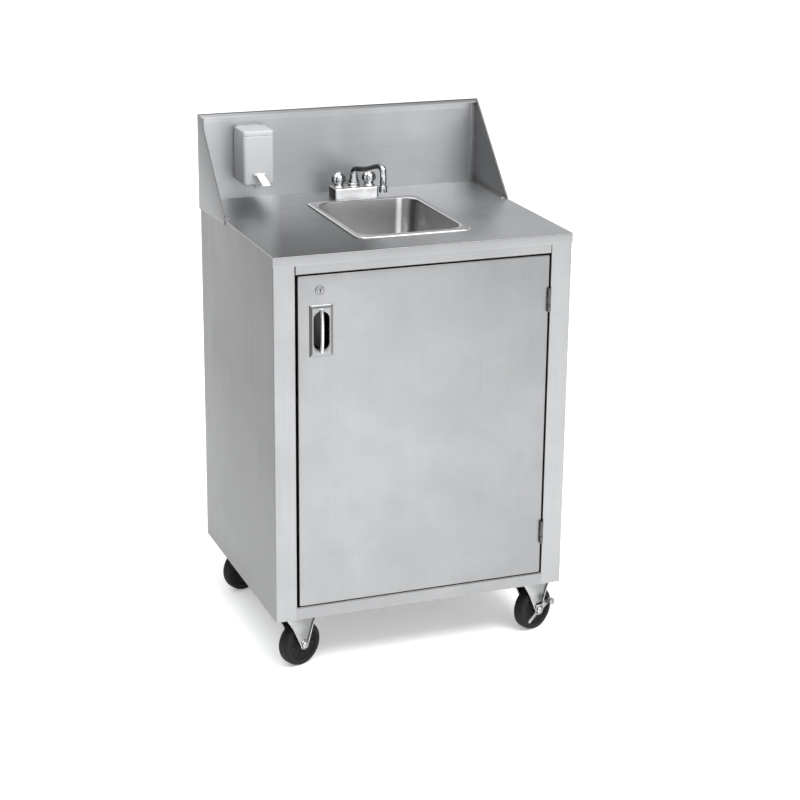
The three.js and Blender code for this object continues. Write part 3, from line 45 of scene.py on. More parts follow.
class Nodes:
    """A small helper to build one procedural material."""

    def __init__(self, name, color, rough, metallic=0.0, **extra):
        self.mat = bpy.data.materials.new(name)
        self.mat.use_nodes = True
        self.mat.diffuse_color = (*color, 1.0)
        self.tree = self.mat.node_tree
        self.tree.nodes.clear()
        out = self.add("ShaderNodeOutputMaterial")
        self.bsdf = self.add("ShaderNodeBsdfPrincipled")
        self.tree.links.new(self.bsdf.outputs[0], out.inputs["Surface"])
        self.bsdf.inputs["Base Color"].default_value = (*color, 1.0)
        self.bsdf.inputs["Roughness"].default_value = rough
        self.bsdf.inputs["Metallic"].default_value = metallic
        for key, value in extra.items():
            self.bsdf.inputs[key.replace("_", " ")].default_value = value
        self.coord = self.add("ShaderNodeTexCoord")
        self.height = None

    def add(self, kind, **values):
        node = self.tree.nodes.new(kind)
        for key, value in values.items():
            setattr(node, key, value)
        return node

    def link(self, a, b):
        self.tree.links.new(a, b)

    def noise(self, scale, detail=3.0, rough=0.5, distortion=0.0):
        """Noise over the piece; scale is one number or three, in cycles per metre."""
        mapping = self.add("ShaderNodeMapping")
        self.link(self.coord.outputs["Object"], mapping.inputs["Vector"])
        size = scale if isinstance(scale, tuple) else (scale, scale, scale)
        mapping.inputs["Scale"].default_value = size
        node = self.add("ShaderNodeTexNoise")
        node.inputs["Scale"].default_value = 1.0
        node.inputs["Detail"].default_value = detail
        node.inputs["Roughness"].default_value = rough
        node.inputs["Distortion"].default_value = distortion
        self.link(mapping.outputs[0], node.inputs["Vector"])
        return node.outputs["Fac"]

    def span(self, value, low, high, from_low=0.3, from_high=0.7):
        node = self.add("ShaderNodeMapRange")
        self.link(value, node.inputs["Value"])
        names = ("From Min", "From Max", "To Min", "To Max")
        for key, number in zip(names, (from_low, from_high, low, high)):
            node.inputs[key].default_value = number
        return node.outputs["Result"]

    def sum(self, *values):
        total = values[0]
        for value in values[1:]:
            node = self.add("ShaderNodeMath", operation="ADD")
            self.link(total, node.inputs[0])
            self.link(value, node.inputs[1])
            total = node.outputs[0]
        return total

    def mix(self, factor, first, second):
        """Mixes two colours, each a tuple or a socket."""
        node = self.add("ShaderNodeMix", data_type="RGBA")
        self.link(factor, node.inputs["Factor"])
        for socket, colour in ((node.inputs["A"], first), (node.inputs["B"], second)):
            self._colour(socket, colour)
        return node.outputs["Result"]

    def _colour(self, socket, colour):
        sockets = [s for s in socket.node.inputs if s.name == socket.name and s.type == "RGBA"]
        if isinstance(colour, tuple):
            sockets[0].default_value = (*colour, 1.0)
        else:
            self.link(colour, sockets[0])

    def bump(self, value, distance, strength=1.0):
        node = self.add("ShaderNodeBump")
        node.inputs["Distance"].default_value = distance * M
        node.inputs["Strength"].default_value = strength
        self.link(value, node.inputs["Height"])
        if self.height is not None:
            self.link(self.height, node.inputs["Normal"])
        self.height = node.outputs["Normal"]
        self.link(self.height, self.bsdf.inputs["Normal"])

    def edges(self, radius):
        """1 on flat ground, lower where a rounded-off edge would be."""
        bevel = self.add("ShaderNodeBevel", samples=4)
        bevel.inputs["Radius"].default_value = radius * M
        flat = self.add("ShaderNodeNewGeometry")
        dot = self.add("ShaderNodeVectorMath", operation="DOT_PRODUCT")
        self.link(bevel.outputs[0], dot.inputs[0])
        self.link(flat.outputs["Normal"], dot.inputs[1])
        return dot.outputs["Value"]

    def facing(self, direction, both=True):
        """How far the surface turns towards a direction of the frame, or also away from it."""
        dot = self.add("ShaderNodeVectorMath", operation="DOT_PRODUCT")
        self.link(self.add("ShaderNodeNewGeometry").outputs["Normal"], dot.inputs[0])
        dot.inputs[1].default_value = direction
        if not both:
            return dot.outputs["Value"]
        size = self.add("ShaderNodeMath", operation="ABSOLUTE")
        self.link(dot.outputs["Value"], size.inputs[0])
        return size.outputs[0]

    def along(self, way, start, stop, low, high):
        """A number that goes from low to high between two places on a line, in millimetres."""
        place = self.add("ShaderNodeVectorMath", operation="DOT_PRODUCT")
        self.link(self.coord.outputs["Object"], place.inputs[0])
        place.inputs[1].default_value = way
        return self.span(place.outputs["Value"], low, high, start * M, stop * M)

    def steps(self, value, stops):
        """A number read off a row of (place, number) stops, with straight runs between them."""
        node = self.add("ShaderNodeValToRGB")
        ramp = node.color_ramp
        self.link(value, node.inputs["Fac"])
        top = max(number for _, number in stops)
        for element, (place, number) in zip((ramp.elements[0], ramp.elements[1]), (stops[0], stops[-1])):
            element.position, element.color = place, (number / top, number / top, number / top, 1)
        for place, number in stops[1:-1]:
            ramp.elements.new(place).color = (number / top, number / top, number / top, 1)
        return self.product(node.outputs["Color"], top)

    def product(self, first, second):
        node = self.add("ShaderNodeMath", operation="MULTIPLY")
        self.link(first, node.inputs[0])
        if isinstance(second, (int, float)):
            node.inputs[1].default_value = second
        else:
            self.link(second, node.inputs[1])
        return node.outputs[0]

    def scaled(self, colour, factor):
        node = self.add("ShaderNodeVectorMath", operation="SCALE")
        self.link(colour, node.inputs[0])
        self.link(factor, node.inputs["Scale"])
        return node.outputs["Vector"]

    def to(self, socket, value):
        self.link(value, self.bsdf.inputs[socket])


def toned(color, share):
    """A colour made darker or lighter by a share."""
    return tuple(min(1.0, c * share) for c in color)


def brushed(name, grain, color=(0.335, 0.337, 0.341), rough=0.34, mottle=0.05, flank=1.0, sheen=(),
            face=None, grit=1.0, shade=None):
    """Brushed sheet: fine scratches along the grain's axis, soft mottling and smudges, rubbed edges.

    Flank darkens what faces left or right: painted shade. Sheen is a row of slow changes of tone,
    painted light and shade, each a direction, two places on it in millimetres and the tone at both.
    They end where the sheet turns away from the face they are meant for. What looks up and forward is
    darkened too: painted shade.
    """
    n = Nodes(name, color, rough, 1.0)
    fine = tuple(14.0 if a == grain else 2600.0 for a in "xyz")
    long = tuple(4.0 if a == grain else 620.0 for a in "xyz")
    scratch = n.noise(fine, 2.0, 0.6)
    streak = n.noise(long, 3.0, 0.55)
    cloud = n.noise(9.0, 4.0, 0.6, 0.4)
    smudge = n.noise(3.2, 2.0, 0.5, 1.2)
    mottled = n.mix(n.span(cloud, 0.0, 1.0), toned(color, 1 - mottle * 1.6), toned(color, 1 + mottle))
    lined = n.mix(n.span(streak, 0.0, 0.28), mottled, toned(color, 0.86))
    wear_and_painted_light = n.mix(n.span(n.edges(1.2), 0.0, 0.5, 1.0, 0.8), lined, toned(color, 1.12))
    # Painted shade on what faces left or right.
    if flank < 1:
        wear_and_painted_light = n.mix(n.span(n.facing((1, 0, 0)), 0.0, 1.0, 0.6, 0.8), wear_and_painted_light, toned(color, flank))
    # Painted shade where the sheet looks up and forward.
    brow = n.facing((0, -0.707, 0.707), False)
    wear_and_painted_light = n.scaled(wear_and_painted_light, n.span(brow, 1.0, 0.35, 0.80, 0.95))
    plain = wear_and_painted_light
    # Painted light and shade: slow changes of tone along the piece.
    for change in sheen:
        wear_and_painted_light = n.scaled(wear_and_painted_light, n.along(*change))
    if face:
        wear_and_painted_light = n.mix(n.span(n.facing(face), 0.0, 1.0, 0.6, 0.8), plain, wear_and_painted_light)
    if shade:
        wear_and_painted_light = shade(n, wear_and_painted_light)
    n.to("Base Color", wear_and_painted_light)
    n.to("Roughness", n.sum(n.span(streak, rough - 0.05, rough + 0.05), n.span(smudge, -0.03, 0.04)))
    n.bump(scratch, 0.02, 0.35 * grit)
    n.bump(n.noise(5.0, 1.0, 0.4), 0.5, 0.06)
    return n.mat


def bowl_painted_light_and_shade(n, colour):
    """Painted light and shade of a drawn bowl: a painted highlight down its rear corner and painted shade
    beside it.
    """
    turn = n.facing((-1, 0, 0), False)
    rows = ((0.0, 1.0), (0.08, 1.0), (0.18, 2.3), (0.32, 2.3), (0.44, 0.6), (0.7, 0.5), (0.84, 0.2),
            (0.96, 0.22), (1.0, 0.48))
    colour = n.scaled(colour, n.steps(turn, rows))
    # Painted light: lighter towards the front.
    colour = n.scaled(colour, n.along((0, 1, 0), -140, 120, 1.9, 1.0))
    # Painted shade on the flat top of the rim.
    level = n.span(n.facing((0, 0, 1)), 0.0, 1.0, 0.93, 0.99)
    flat = n.product(level, n.along((0, 0, 1), 915, 922, 0.0, 1.0))
    colour = n.scaled(colour, n.span(flat, 1.0, 0.6, 0.0, 1.0))
    # Painted shade where the bowl looks up and forward.
    return n.scaled(colour, n.span(n.facing((0, -0.8, 0.6), False), 1.0, 0.45, 0.7, 0.92))


def metal(name, color, rough, spots=0.02, edge=0.9, turned=1.0, left=1.0, top=1.0,
          brow=1.0, sheen=()):
    """Plated or polished metal: water spots and faint polishing marks.

    Turned is the share of the tone kept where the surface turns away sideways, left where it turns a
    little to the left, top where it looks up, and brow where it looks up and forward: painted
    reflections and painted shade. Sheen is a row of slow changes of tone, painted light and shade,
    as for brushed sheet.
    """
    n = Nodes(name, color, rough, 1.0)
    film = n.noise(60.0, 4.0, 0.6, 0.5)
    spot = n.noise(420.0, 2.0, 0.5)
    base = n.mix(n.span(film, 0.0, 1.0), toned(color, edge), color)
    # Painted reflections and shade: darker where the surface turns sideways, turns left and looks up.
    for way, both, share, start, full in (((0.93, -0.35, 0.1), True, turned, 0.36, 0.72),
                                          ((-1, 0, 0), False, left, 0.22, 0.34),
                                          ((0, 0, 1), False, top, 0.7, 0.9)):
        if share < 1:
            base = n.mix(n.span(n.facing(way, both), 0.0, 1.0, start, full), base, toned(color, share))
    # Painted shade where it looks up and forward.
    if brow < 1:
        base = n.scaled(base, n.span(n.facing((0, -0.707, 0.707), False), 1.0, brow, 0.8, 0.92))
    # Painted light and shade along the piece.
    for change in sheen:
        base = n.scaled(base, n.along(*change))
    n.to("Base Color", base)
    n.to("Roughness", n.sum(n.span(film, rough * 0.8, rough * 1.3), n.span(spot, 0.0, spots, 0.62, 0.75)))
    n.bump(n.noise(900.0, 2.0, 0.5), 0.01, 0.15)
    return n.mat


def plastic(name, color, rough, grain=1500.0, depth=0.03, wear=0.9, **extra):
    """Moulded plastic: a fine leathery texture, uneven sheen, scuffed edges."""
    n = Nodes(name, color, rough, 0.0, **extra)
    cloud = n.noise(14.0, 3.0, 0.6)
    scuff = n.noise(110.0, 5.0, 0.7, 0.8)
    base = n.mix(n.span(cloud, 0.0, 1.0), toned(color, 0.96), color)
    marked = n.mix(n.span(scuff, 0.0, 0.35, 0.6, 0.8), base, toned(color, wear))
    pale = tuple(min(1.0, c * 1.12 + 0.02) for c in color)
    rubbed = n.mix(n.span(n.edges(0.8), 0.0, 0.4, 1.0, 0.75), marked, pale)
    n.to("Base Color", rubbed)
    n.to("Roughness", n.sum(n.span(scuff, rough - 0.04, rough + 0.08), n.span(cloud, -0.02, 0.02)))
    n.bump(n.noise(grain, 2.0, 0.5), depth, 0.4)
    return n.mat


def rubber(name, color, rough):
    """Black rubber: dull sheen, road dust in the hollows and fine scuffs."""
    n = Nodes(name, color, rough)
    dust = n.noise(38.0, 5.0, 0.65, 0.6)
    grain = n.noise(1400.0, 2.0, 0.6)
    scuff = n.noise((260.0, 40.0, 260.0), 4.0, 0.7)
    dusty = n.mix(n.span(dust, 0.0, 0.10, 0.5, 0.8), color, (0.08, 0.078, 0.075))
    n.to("Base Color", n.mix(n.span(scuff, 0.0, 0.25, 0.6, 0.8), dusty, toned(color, 2.2)))
    n.to("Roughness", n.span(dust, rough - 0.08, rough + 0.12))
    n.bump(grain, 0.05, 0.5)
    return n.mat


# Copies of one brushed steel: their different base tones, and the flank and sheen they are given, are painted
# light and shade for each piece.
STEEL_Z = brushed("brushed_steel_upright", "z")
STEEL_X = brushed("brushed_steel_across", "x", (0.29, 0.292, 0.296))
STEEL_SIDE = brushed("brushed_steel_side", "z", flank=0.44,
                     sheen=(((0, 0, 1), 200, 600, 1.35, 0.97),), face=(1, 0, 0))
# The counter's painted reflections: its tone changes across it on a slant, as the photo shows.
ASLANT = (0.954, -0.3, 0)
STEEL_TOP = brushed("brushed_steel_counter", "x", face=(0, 0, 1),
                    sheen=((ASLANT, -240, -216, 1.9, 1.0), (ASLANT, -50, 10, 0.6, 1.54),
                           (ASLANT, 60, 250, 1.0, 1.32)))
STEEL_DOOR = brushed("brushed_steel_door", "z", (0.31, 0.312, 0.316),
                     sheen=(((1, 0, 0), -150, 280, 1.0, 0.84),))
STEEL_SPLASH = brushed("brushed_steel_splash", "x", (0.44, 0.444, 0.452), 0.42,
                       sheen=(((1, 0, 0), -330, -160, 1.3, 1.0), ((1, 0, 0), -160, 60, 1.05, 0.78),
                              ((0, 0, 1), 1094, 1097, 1.0, 1.12), ((0, 0, 1), 1109.5, 1112, 1.0, 0.55)))
STEEL_WING = brushed("brushed_steel_wing", "x", (0.30, 0.302, 0.306), 0.46, flank=0.9)
# Hinge steel painted dark: painted shade on the hinges.
HINGE_STEEL = brushed("hinge_steel_in_painted_shade", "z", (0.10, 0.101, 0.104), 0.42)
# The bowl's steel carries painted light and shade.
SATIN = brushed("satin_bowl_steel", "y", (0.62, 0.62, 0.625), 0.34, 0.02, grit=0.2,
                shade=bowl_painted_light_and_shade)
# The metals from here on are darker, each by its own shares, where they turn sideways, where they look up and
# where they look up and forward: painted reflections and painted shade.
CHROME = metal("polished_chrome", (0.66, 0.67, 0.68), 0.09, 0.10, turned=0.10)
# Painted highlight on the grip in front of the plate; painted shade inside the recess, on the left bevel,
# where it turns sideways and where it looks up and forward.
PLATED = metal("plated_pull", (0.29, 0.292, 0.296), 0.26, 0.08, turned=0.5, left=0.30, brow=0.4,
               sheen=(((0, 1, 0), -273.5, -271.6, 2.8, 1.0), ((0, 1, 0), -268.5, -263.5, 1.0, 0.11)))
KEYWAY = metal("lock_steel", (0.33, 0.332, 0.336), 0.36, 0.06, brow=0.3)
BODY = metal("faucet_body_chrome", (0.95, 0.955, 0.96), 0.42, 0.04, turned=0.08, top=0.35)
ZINC = metal("bright_zinc", (0.60, 0.605, 0.61), 0.26, 0.12, 0.86, turned=0.35)
GREY = plastic("dispenser_grey", (0.385, 0.389, 0.397), 0.42, 1100.0, 0.03, 0.94)
WHITE = plastic("lever_white", (0.60, 0.60, 0.60), 0.34, 900.0, 0.02, 0.93)
TANK = plastic("milky_tank", (0.80, 0.83, 0.83), 0.42, 700.0, 0.06, 0.94, Subsurface_Weight=0.35,
               Subsurface_Scale=0.012)
DARK = plastic("dark_moulding", (0.030, 0.031, 0.034), 0.45, 1300.0, 0.05, 1.5)
SHELL = plastic("heater_shell_white", (0.78, 0.78, 0.75), 0.36, 1000.0, 0.03, 0.9)
HOSE = plastic("cloudy_hose", (0.60, 0.66, 0.68), 0.22, 500.0, 0.04, 0.9, Transmission_Weight=0.35)
DRAIN = rubber("drain_rubber", (0.045, 0.048, 0.052), 0.55)
TYRE = rubber("caster_rubber", (0.006, 0.006, 0.0065), 0.62)
TYRE.node_tree.nodes["Principled BSDF"].inputs["Specular IOR Level"].default_value = 0.2

# Mesh helpers

# Faces that meet at more than this many degrees keep a sharp edge between them.
SHARP = 32.0

AXES = {"x": (1, 2, 0), "y": (0, 2, 1), "z": (0, 1, 2)}


def point(u, v, w, axis):
    """A point from its two outline numbers and its place along the axis."""
    out = [0.0, 0.0, 0.0]
    for slot, value in zip(AXES[axis], (u, v, w)):
        out[slot] = value
    return Vector(out)


def added(name, data):
    """Puts a mesh, a light or a camera into the scene."""
    obj = bpy.data.objects.new(name, data)
    bpy.context.scene.collection.objects.link(obj)
    return obj


def make(name, bm, material, sharp=SHARP):
    """Turns a bmesh in millimetres into an object in metres."""
    bmesh.ops.remove_doubles(bm, verts=bm.verts, dist=1e-4)
    bmesh.ops.recalc_face_normals(bm, faces=bm.faces)
    bmesh.ops.scale(bm, vec=(M, M, M), verts=bm.verts)
    mesh = bpy.data.meshes.new(name)
    bm.to_mesh(mesh)
    bm.free()
    mesh.materials.append(material)
    mesh.shade_smooth()
    mesh.set_sharp_from_angle(angle=math.radians(sharp))
    return added(name, mesh)


def grid_rings(bm, rings, cap_start=True, cap_end=True, loop=False):
    """Skins a row of closed rings of equal counts."""
    rows = [[bm.verts.new(p) for p in ring] for ring in rings]
    pairs = list(zip(rows, rows[1:])) + ([(rows[-1], rows[0])] if loop else [])
    for low, high in pairs:
        for i in range(len(low)):
            j = (i + 1) % len(low)
            quad = [low[i], low[j], high[j], high[i]]
            corners = [v for k, v in enumerate(quad) if (v.co - quad[k - 1].co).length > 1e-5]
            if len(corners) > 2:
                bm.faces.new(corners)
    if cap_start and not loop:
        bm.faces.new(list(reversed(rows[0])))
    if cap_end and not loop:
        bm.faces.new(rows[-1])


def arc(cu, cv, radius, start, stop, steps):
    """Points on a part of a circle, between two angles in degrees."""
    angles = [math.radians(start + (stop - start) * i / steps) for i in range(steps + 1)]
    return [(cu + radius * math.cos(a), cv + radius * math.sin(a)) for a in angles]


def rounded(cu, cv, half_u, half_v, radius, steps=8):
    """The outline of a rectangle with rounded corners."""
    radius = min(radius, half_u - 0.01, half_v - 0.01)
    a, b = half_u - radius, half_v - radius
    return (arc(cu + a, cv + b, radius, 0, 90, steps) + arc(cu - a, cv + b, radius, 90, 180, steps)
            + arc(cu - a, cv - b, radius, 180, 270, steps) + arc(cu + a, cv - b, radius, 270, 360, steps))


def add_loft(bm, stations, axis, **caps):
    grid_rings(bm, [[point(u, v, w, axis) for u, v in outline] for outline, w in stations], **caps)


def quarter(radius, steps):
    """A quarter round: how far its steps lie inwards, and how far they have risen."""
    angles = [math.radians(90 * k / steps) for k in range(steps + 1)]
    return [(radius * (1 - math.sin(a)), radius * (1 - math.cos(a))) for a in angles]


def add_prism(bm, outline, axis, low, high, bevel=0.0, steps=2):
    """A straight piece from an outline; bevel softens its two ends."""
    if bevel <= 0:
        add_loft(bm, [(outline, low), (outline, high)], axis)
        return
    rings = []
    for end, sign in ((low, 1), (high, -1)):
        part = []
        for i in range(steps + 1):
            angle = math.pi / 2 * i / steps
            inwards, rise = bevel * (1 - math.sin(angle)), bevel * (1 - math.cos(angle))
            part.append((shrink(outline, inwards), end + sign * rise))
        rings.append(part)
    add_loft(bm, rings[0] + list(reversed(rings[1])), axis)


def shrink(outline, amount):
    """An outline moved inwards by the same amount all round."""
    if amount <= 0:
        return outline
    area = sum(a[0] * b[1] - b[0] * a[1] for a, b in zip(outline, outline[1:] + outline[:1]))
    turn = 1 if area > 0 else -1
    out = []
    count = len(outline)
    for i, p in enumerate(outline):
        before, after = Vector(outline[i - 1]), Vector(outline[(i + 1) % count])
        here = Vector(p)
        a = (here - before).normalized() if (here - before).length > 1e-6 else (after - here).normalized()
        b = (after - here).normalized() if (after - here).length > 1e-6 else a
        na, nb = Vector((-a.y, a.x)) * turn, Vector((-b.y, b.x)) * turn
        mid = na + nb
        mid = mid / max(0.35, mid.length_squared / 2)
        out.append(tuple(here + mid * amount))
    return out


def add_lathe(bm, profile, axis, centre, sides=48, closed=False):
    """Turns a profile of (radius, station) pairs round a line along one axis."""
    first = profile[0][0] <= 1e-6
    last = profile[-1][0] <= 1e-6
    rings = []
    for radius, station in profile:
        ring = disc(max(radius, 0.0), sides)
        rings.append([point(u, v, station, axis) + Vector(centre) for u, v in ring])
    if closed:
        grid_rings(bm, rings, loop=True)
    else:
        grid_rings(bm, rings, cap_start=not first, cap_end=not last)


def disc(radius, sides, centre=(0.0, 0.0), phase=0.0):
    """The outline of a circle or a regular polygon."""
    turns = [2 * math.pi * (i + phase) / sides for i in range(sides)]
    return [(centre[0] + radius * math.cos(a), centre[1] + radius * math.sin(a)) for a in turns]


def add_rod(bm, axis, centre, radius, low, high, sides=32, bevel=0.4):
    bevel = min(bevel, radius / 2, (high - low) / 2.5)
    profile = [(0, low), (radius - bevel, low), (radius - bevel * 0.3, low + bevel * 0.3),
               (radius, low + bevel), (radius, high - bevel), (radius - bevel * 0.3, high - bevel * 0.3),
               (radius - bevel, high), (0, high)]
    add_lathe(bm, profile, axis, centre, sides)


def add_box(bm, x, y, z, bevel=0.4):
    """A block with softened edges."""
    size = [abs(v[1] - v[0]) for v in (x, y, z)]
    middle = Vector([(v[0] + v[1]) / 2 for v in (x, y, z)])
    place = Matrix.Translation(middle) @ Matrix.Diagonal((*size, 1.0))
    made = bmesh.ops.create_cube(bm, size=1.0, matrix=place)
    bevel = min(bevel, min(size) * 0.45)
    if bevel > 0:
        edges = dict.fromkeys(e for v in made["verts"] for e in v.link_edges)
        bmesh.ops.bevel(bm, geom=list(edges), offset=bevel, segments=2, profile=0.7, affect="EDGES")


def spline(points, steps):
    """The centripetal curve through a row of points."""
    pts = [Vector(p) for p in points]
    pts = [pts[0] * 2 - pts[1]] + pts + [pts[-1] * 2 - pts[-2]]
    out = []
    spans = len(pts) - 3
    for k in range(steps + 1):
        at = k / steps * spans
        i = min(int(at), spans - 1)
        f = at - i
        p = pts[i:i + 4]
        t = [0.0]
        for a, b in zip(p, p[1:]):
            t.append(t[-1] + max((b - a).length ** 0.5, 1e-6))
        x = t[1] + f * (t[2] - t[1])
        between = lambda first, second, start, stop: (first * ((stop - x) / (stop - start))
                                                      + second * ((x - start) / (stop - start)))
        a = [between(p[j], p[j + 1], t[j], t[j + 1]) for j in range(3)]
        b = [between(a[j], a[j + 1], t[j], t[j + 2]) for j in range(2)]
        out.append(between(b[0], b[1], t[1], t[2]))
    return out


def add_tube(bm, path, radius, sides=20):
    """A round bar along a path; radius is a number, or a function of the share of the way."""
    size = radius if callable(radius) else (lambda share: radius)
    rings = []
    ahead = (path[1] - path[0]).normalized()
    side = ahead.orthogonal().normalized()
    for i, here in enumerate(path):
        fresh = (path[min(i + 1, len(path) - 1)] - path[max(i - 1, 0)]).normalized()
        side = (side - fresh * side.dot(fresh)).normalized()
        up = fresh.cross(side)
        rings.append([here + side * u + up * v for u, v in disc(size(i / (len(path) - 1)), sides)])
    grid_rings(bm, rings)


def bend_path(points, radius, steps=5):
    """A line with every inner corner rounded."""
    out = [Vector(points[0])]
    for a, b, c in zip(points, points[1:], points[2:]):
        a, b, c = Vector(a), Vector(b), Vector(c)
        u, v = (a - b).normalized(), (c - b).normalized()
        angle = u.angle(v)
        reach = min(radius / math.tan(angle / 2), 0.48 * (a - b).length, 0.48 * (c - b).length)
        inner = reach * math.tan(angle / 2)
        centre = b + (u + v).normalized() * (inner / math.sin(angle / 2))
        start, stop = b + u * reach - centre, b + v * reach - centre
        turn = start.angle_signed(stop)
        for i in range(steps + 1):
            out.append(centre + Matrix.Rotation(-turn * i / steps, 2) @ start)
    out.append(Vector(points[-1]))
    return out


def add_sheet(bm, points, thickness, axis, low, high, radius=2.2):
    """A folded sheet: its middle line, carried along the axis."""
    line = bend_path(points, radius)
    sides = ([], [])
    for i, here in enumerate(line):
        steps = (line[min(i + 1, len(line) - 1)] - here, here - line[max(i - 1, 0)])
        along = sum((step.normalized() for step in steps if step.length > 1e-6), Vector((0, 0)))
        normal = Vector((-along.y, along.x)).normalized()
        sides[0].append(here + normal * thickness / 2)
        sides[1].append(here - normal * thickness / 2)
    outline = [tuple(p) for p in sides[0] + sides[1][::-1]]
    add_loft(bm, [(outline, low), (outline, high)], axis)


def soften(obj, width):
    """Rounds sharp edges with a bevel modifier."""
    mod = obj.modifiers.new("soft_edges", "BEVEL")
    mod.width = width * M
    mod.segments = 2
    mod.limit_method = "ANGLE"
    mod.angle_limit = math.radians(40)
    mod.harden_normals = False


def carve(obj, *cutters):
    """Cuts other meshes out of a piece, for good."""
    for tool in cutters:
        mod = obj.modifiers.new("carve", "BOOLEAN")
        mod.operation = "DIFFERENCE"
        mod.solver = "EXACT"
        mod.use_self = True
        mod.object = tool
        bpy.context.view_layer.update()
        done = bpy.data.meshes.new_from_object(obj.evaluated_get(bpy.context.evaluated_depsgraph_get()))
        obj.modifiers.clear()
        obj.data = done
        bpy.data.objects.remove(tool)
    obj.data.shade_smooth()
    obj.data.set_sharp_from_angle(angle=math.radians(SHARP))


def cutter(build):
    """A piece that is only there to be cut out of another."""
    bm = bmesh.new()
    build(bm)
    return make("cutter", bm, STEEL_Z)


def reopened(obj):
    """Turns an object back into a bmesh in millimetres, to add more to it."""
    bm = bmesh.new()
    bm.from_mesh(obj.data)
    bmesh.ops.scale(bm, vec=(1 / M, 1 / M, 1 / M), verts=bm.verts)
    bpy.data.objects.remove(obj)
    return bm


def dress(obj, node, body):
    """Puts an object in a node's place, on its body. Casters stand on the floor, all else on LIFT."""
    if "caster" not in node:
        obj.data.transform(Matrix.Translation((0, 0, LIFT * M)))
    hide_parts(node)
    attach(obj, body)


def fit(name, bm, material, body, sharp=SHARP):
    """Makes the piece that replaces the node of the same name."""
    dress(make(name, bm, material, sharp), name, body)


def paint(node, material, bevel=0.0):
    """Gives a CAD node its finish, and softens its edges."""
    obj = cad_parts[node]
    obj.data.materials.clear()
    obj.data.materials.append(material)
    if bevel:
        soften(obj, bevel)


# Driving sizes, as in the model

# Heights above the casters are given from a base line that lies LIFT above the floor.
LIFT = 9.0
LEFT, RIGHT, FRONT, BACK = -330.0, 330.0, -267.5, 267.5
SHEET, COUNTER, SKIRT = 1.5, 914.0, 118.0
UNDER, BACK_INNER = COUNTER - SHEET, BACK - SHEET
STILE, STILE_RETURN, RAIL_RETURN = 47.0, 13.0, 25.0
OPEN_TOP, OPEN_LOW, PAN_TOP = 873.0, 145.5, 125.5
SPLASH_FACE, SPLASH_REAR, SPLASH_TOP = 271.5, 273.5, 1108.0
DOOR_L, DOOR_R, DOOR_LOW, DOOR_TOP, DOOR_DEEP = -276.0, 274.5, 150.0, 867.0, 22.0
# How far the door's skin reaches past the door's own size: left, right, below and above.
PAST_L, PAST_R, PAST_LOW, PAST_TOP = 1.7, 4.9, 2.7, 3.2
BASIN = (12.0, -4.5)
FAUCET = (12.0, 212.5)
FAUCET_TOP = 936.0
# Half the distance between the faucet's two shanks, which carry the knobs.
SHANK_X = 36

# Cabinet shell


def side_panel(name, side):
    at = lambda inset: side * (RIGHT - inset)
    half = SHEET / 2
    bm = bmesh.new()
    line = [(at(STILE - half), FRONT + STILE_RETURN), (at(STILE - half), FRONT + half),
            (at(half), FRONT + half), (at(half), BACK)]
    add_sheet(bm, line, SHEET, "z", SKIRT, UNDER)
    add_box(bm, (at(SHEET), at(20)), (BACK_INNER - SHEET, BACK_INNER), (SKIRT, UNDER), 0.2)
    add_box(bm, (at(0.2), at(18)), (FRONT + SHEET, BACK_INNER - SHEET), (SKIRT, SKIRT + SHEET), 0.2)
    fit(name, bm, STEEL_SIDE, "cabinet")


def rail(name, outer, edge, lap):
    half = math.copysign(SHEET / 2, outer - edge)
    bm = bmesh.new()
    line = [(FRONT + RAIL_RETURN, edge + half), (FRONT + SHEET / 2, edge + half), (FRONT + SHEET / 2, outer)]
    add_sheet(bm, line, SHEET, "x", LEFT + STILE - lap, RIGHT - STILE + lap)
    fit(name, bm, STEEL_X, "cabinet")


side_panel("left_side_panel", -1)
side_panel("right_side_panel", 1)
rail("top_rail", UNDER, OPEN_TOP, -1)
rail("bottom_rail", SKIRT, OPEN_LOW, 2)
paint("back_panel", STEEL_Z, 0.3)
paint("bottom_pan", STEEL_X, 0.3)


def countertop():
    bm = bmesh.new()
    half = SHEET / 2
    line = [(SPLASH_FACE, COUNTER - half), (FRONT - half, COUNTER - half), (FRONT - half, COUNTER - 21.5)]
    add_sheet(bm, line, SHEET, "x", LEFT, RIGHT)
    top = make("countertop", bm, STEEL_TOP)
    hole = rounded(*BASIN, 121, 161.5, 43, 8)
    carve(top, cutter(lambda b: add_prism(b, hole, "z", UNDER - 5, COUNTER + 5)),
          *(cutter(lambda b: add_rod(b, "z", (x, FAUCET[1], 0), 8.3, UNDER - 5, COUNTER + 5, 24, 0))
            for x in (FAUCET[0] - SHANK_X, FAUCET[0] + SHANK_X)))
    dress(top, "countertop", "cabinet")


countertop()

# Splash


def back_splash():
    bm = bmesh.new()
    line = [(BACK, 897), (272.5, 897), (272.5, SPLASH_TOP - 1), (260.5, SPLASH_TOP - 1), (260.5, 1100)]
    add_sheet(bm, line, 2.0, "x", LEFT, RIGHT, 2.4)
    fit("back_splash", bm, STEEL_SPLASH, "cabinet")


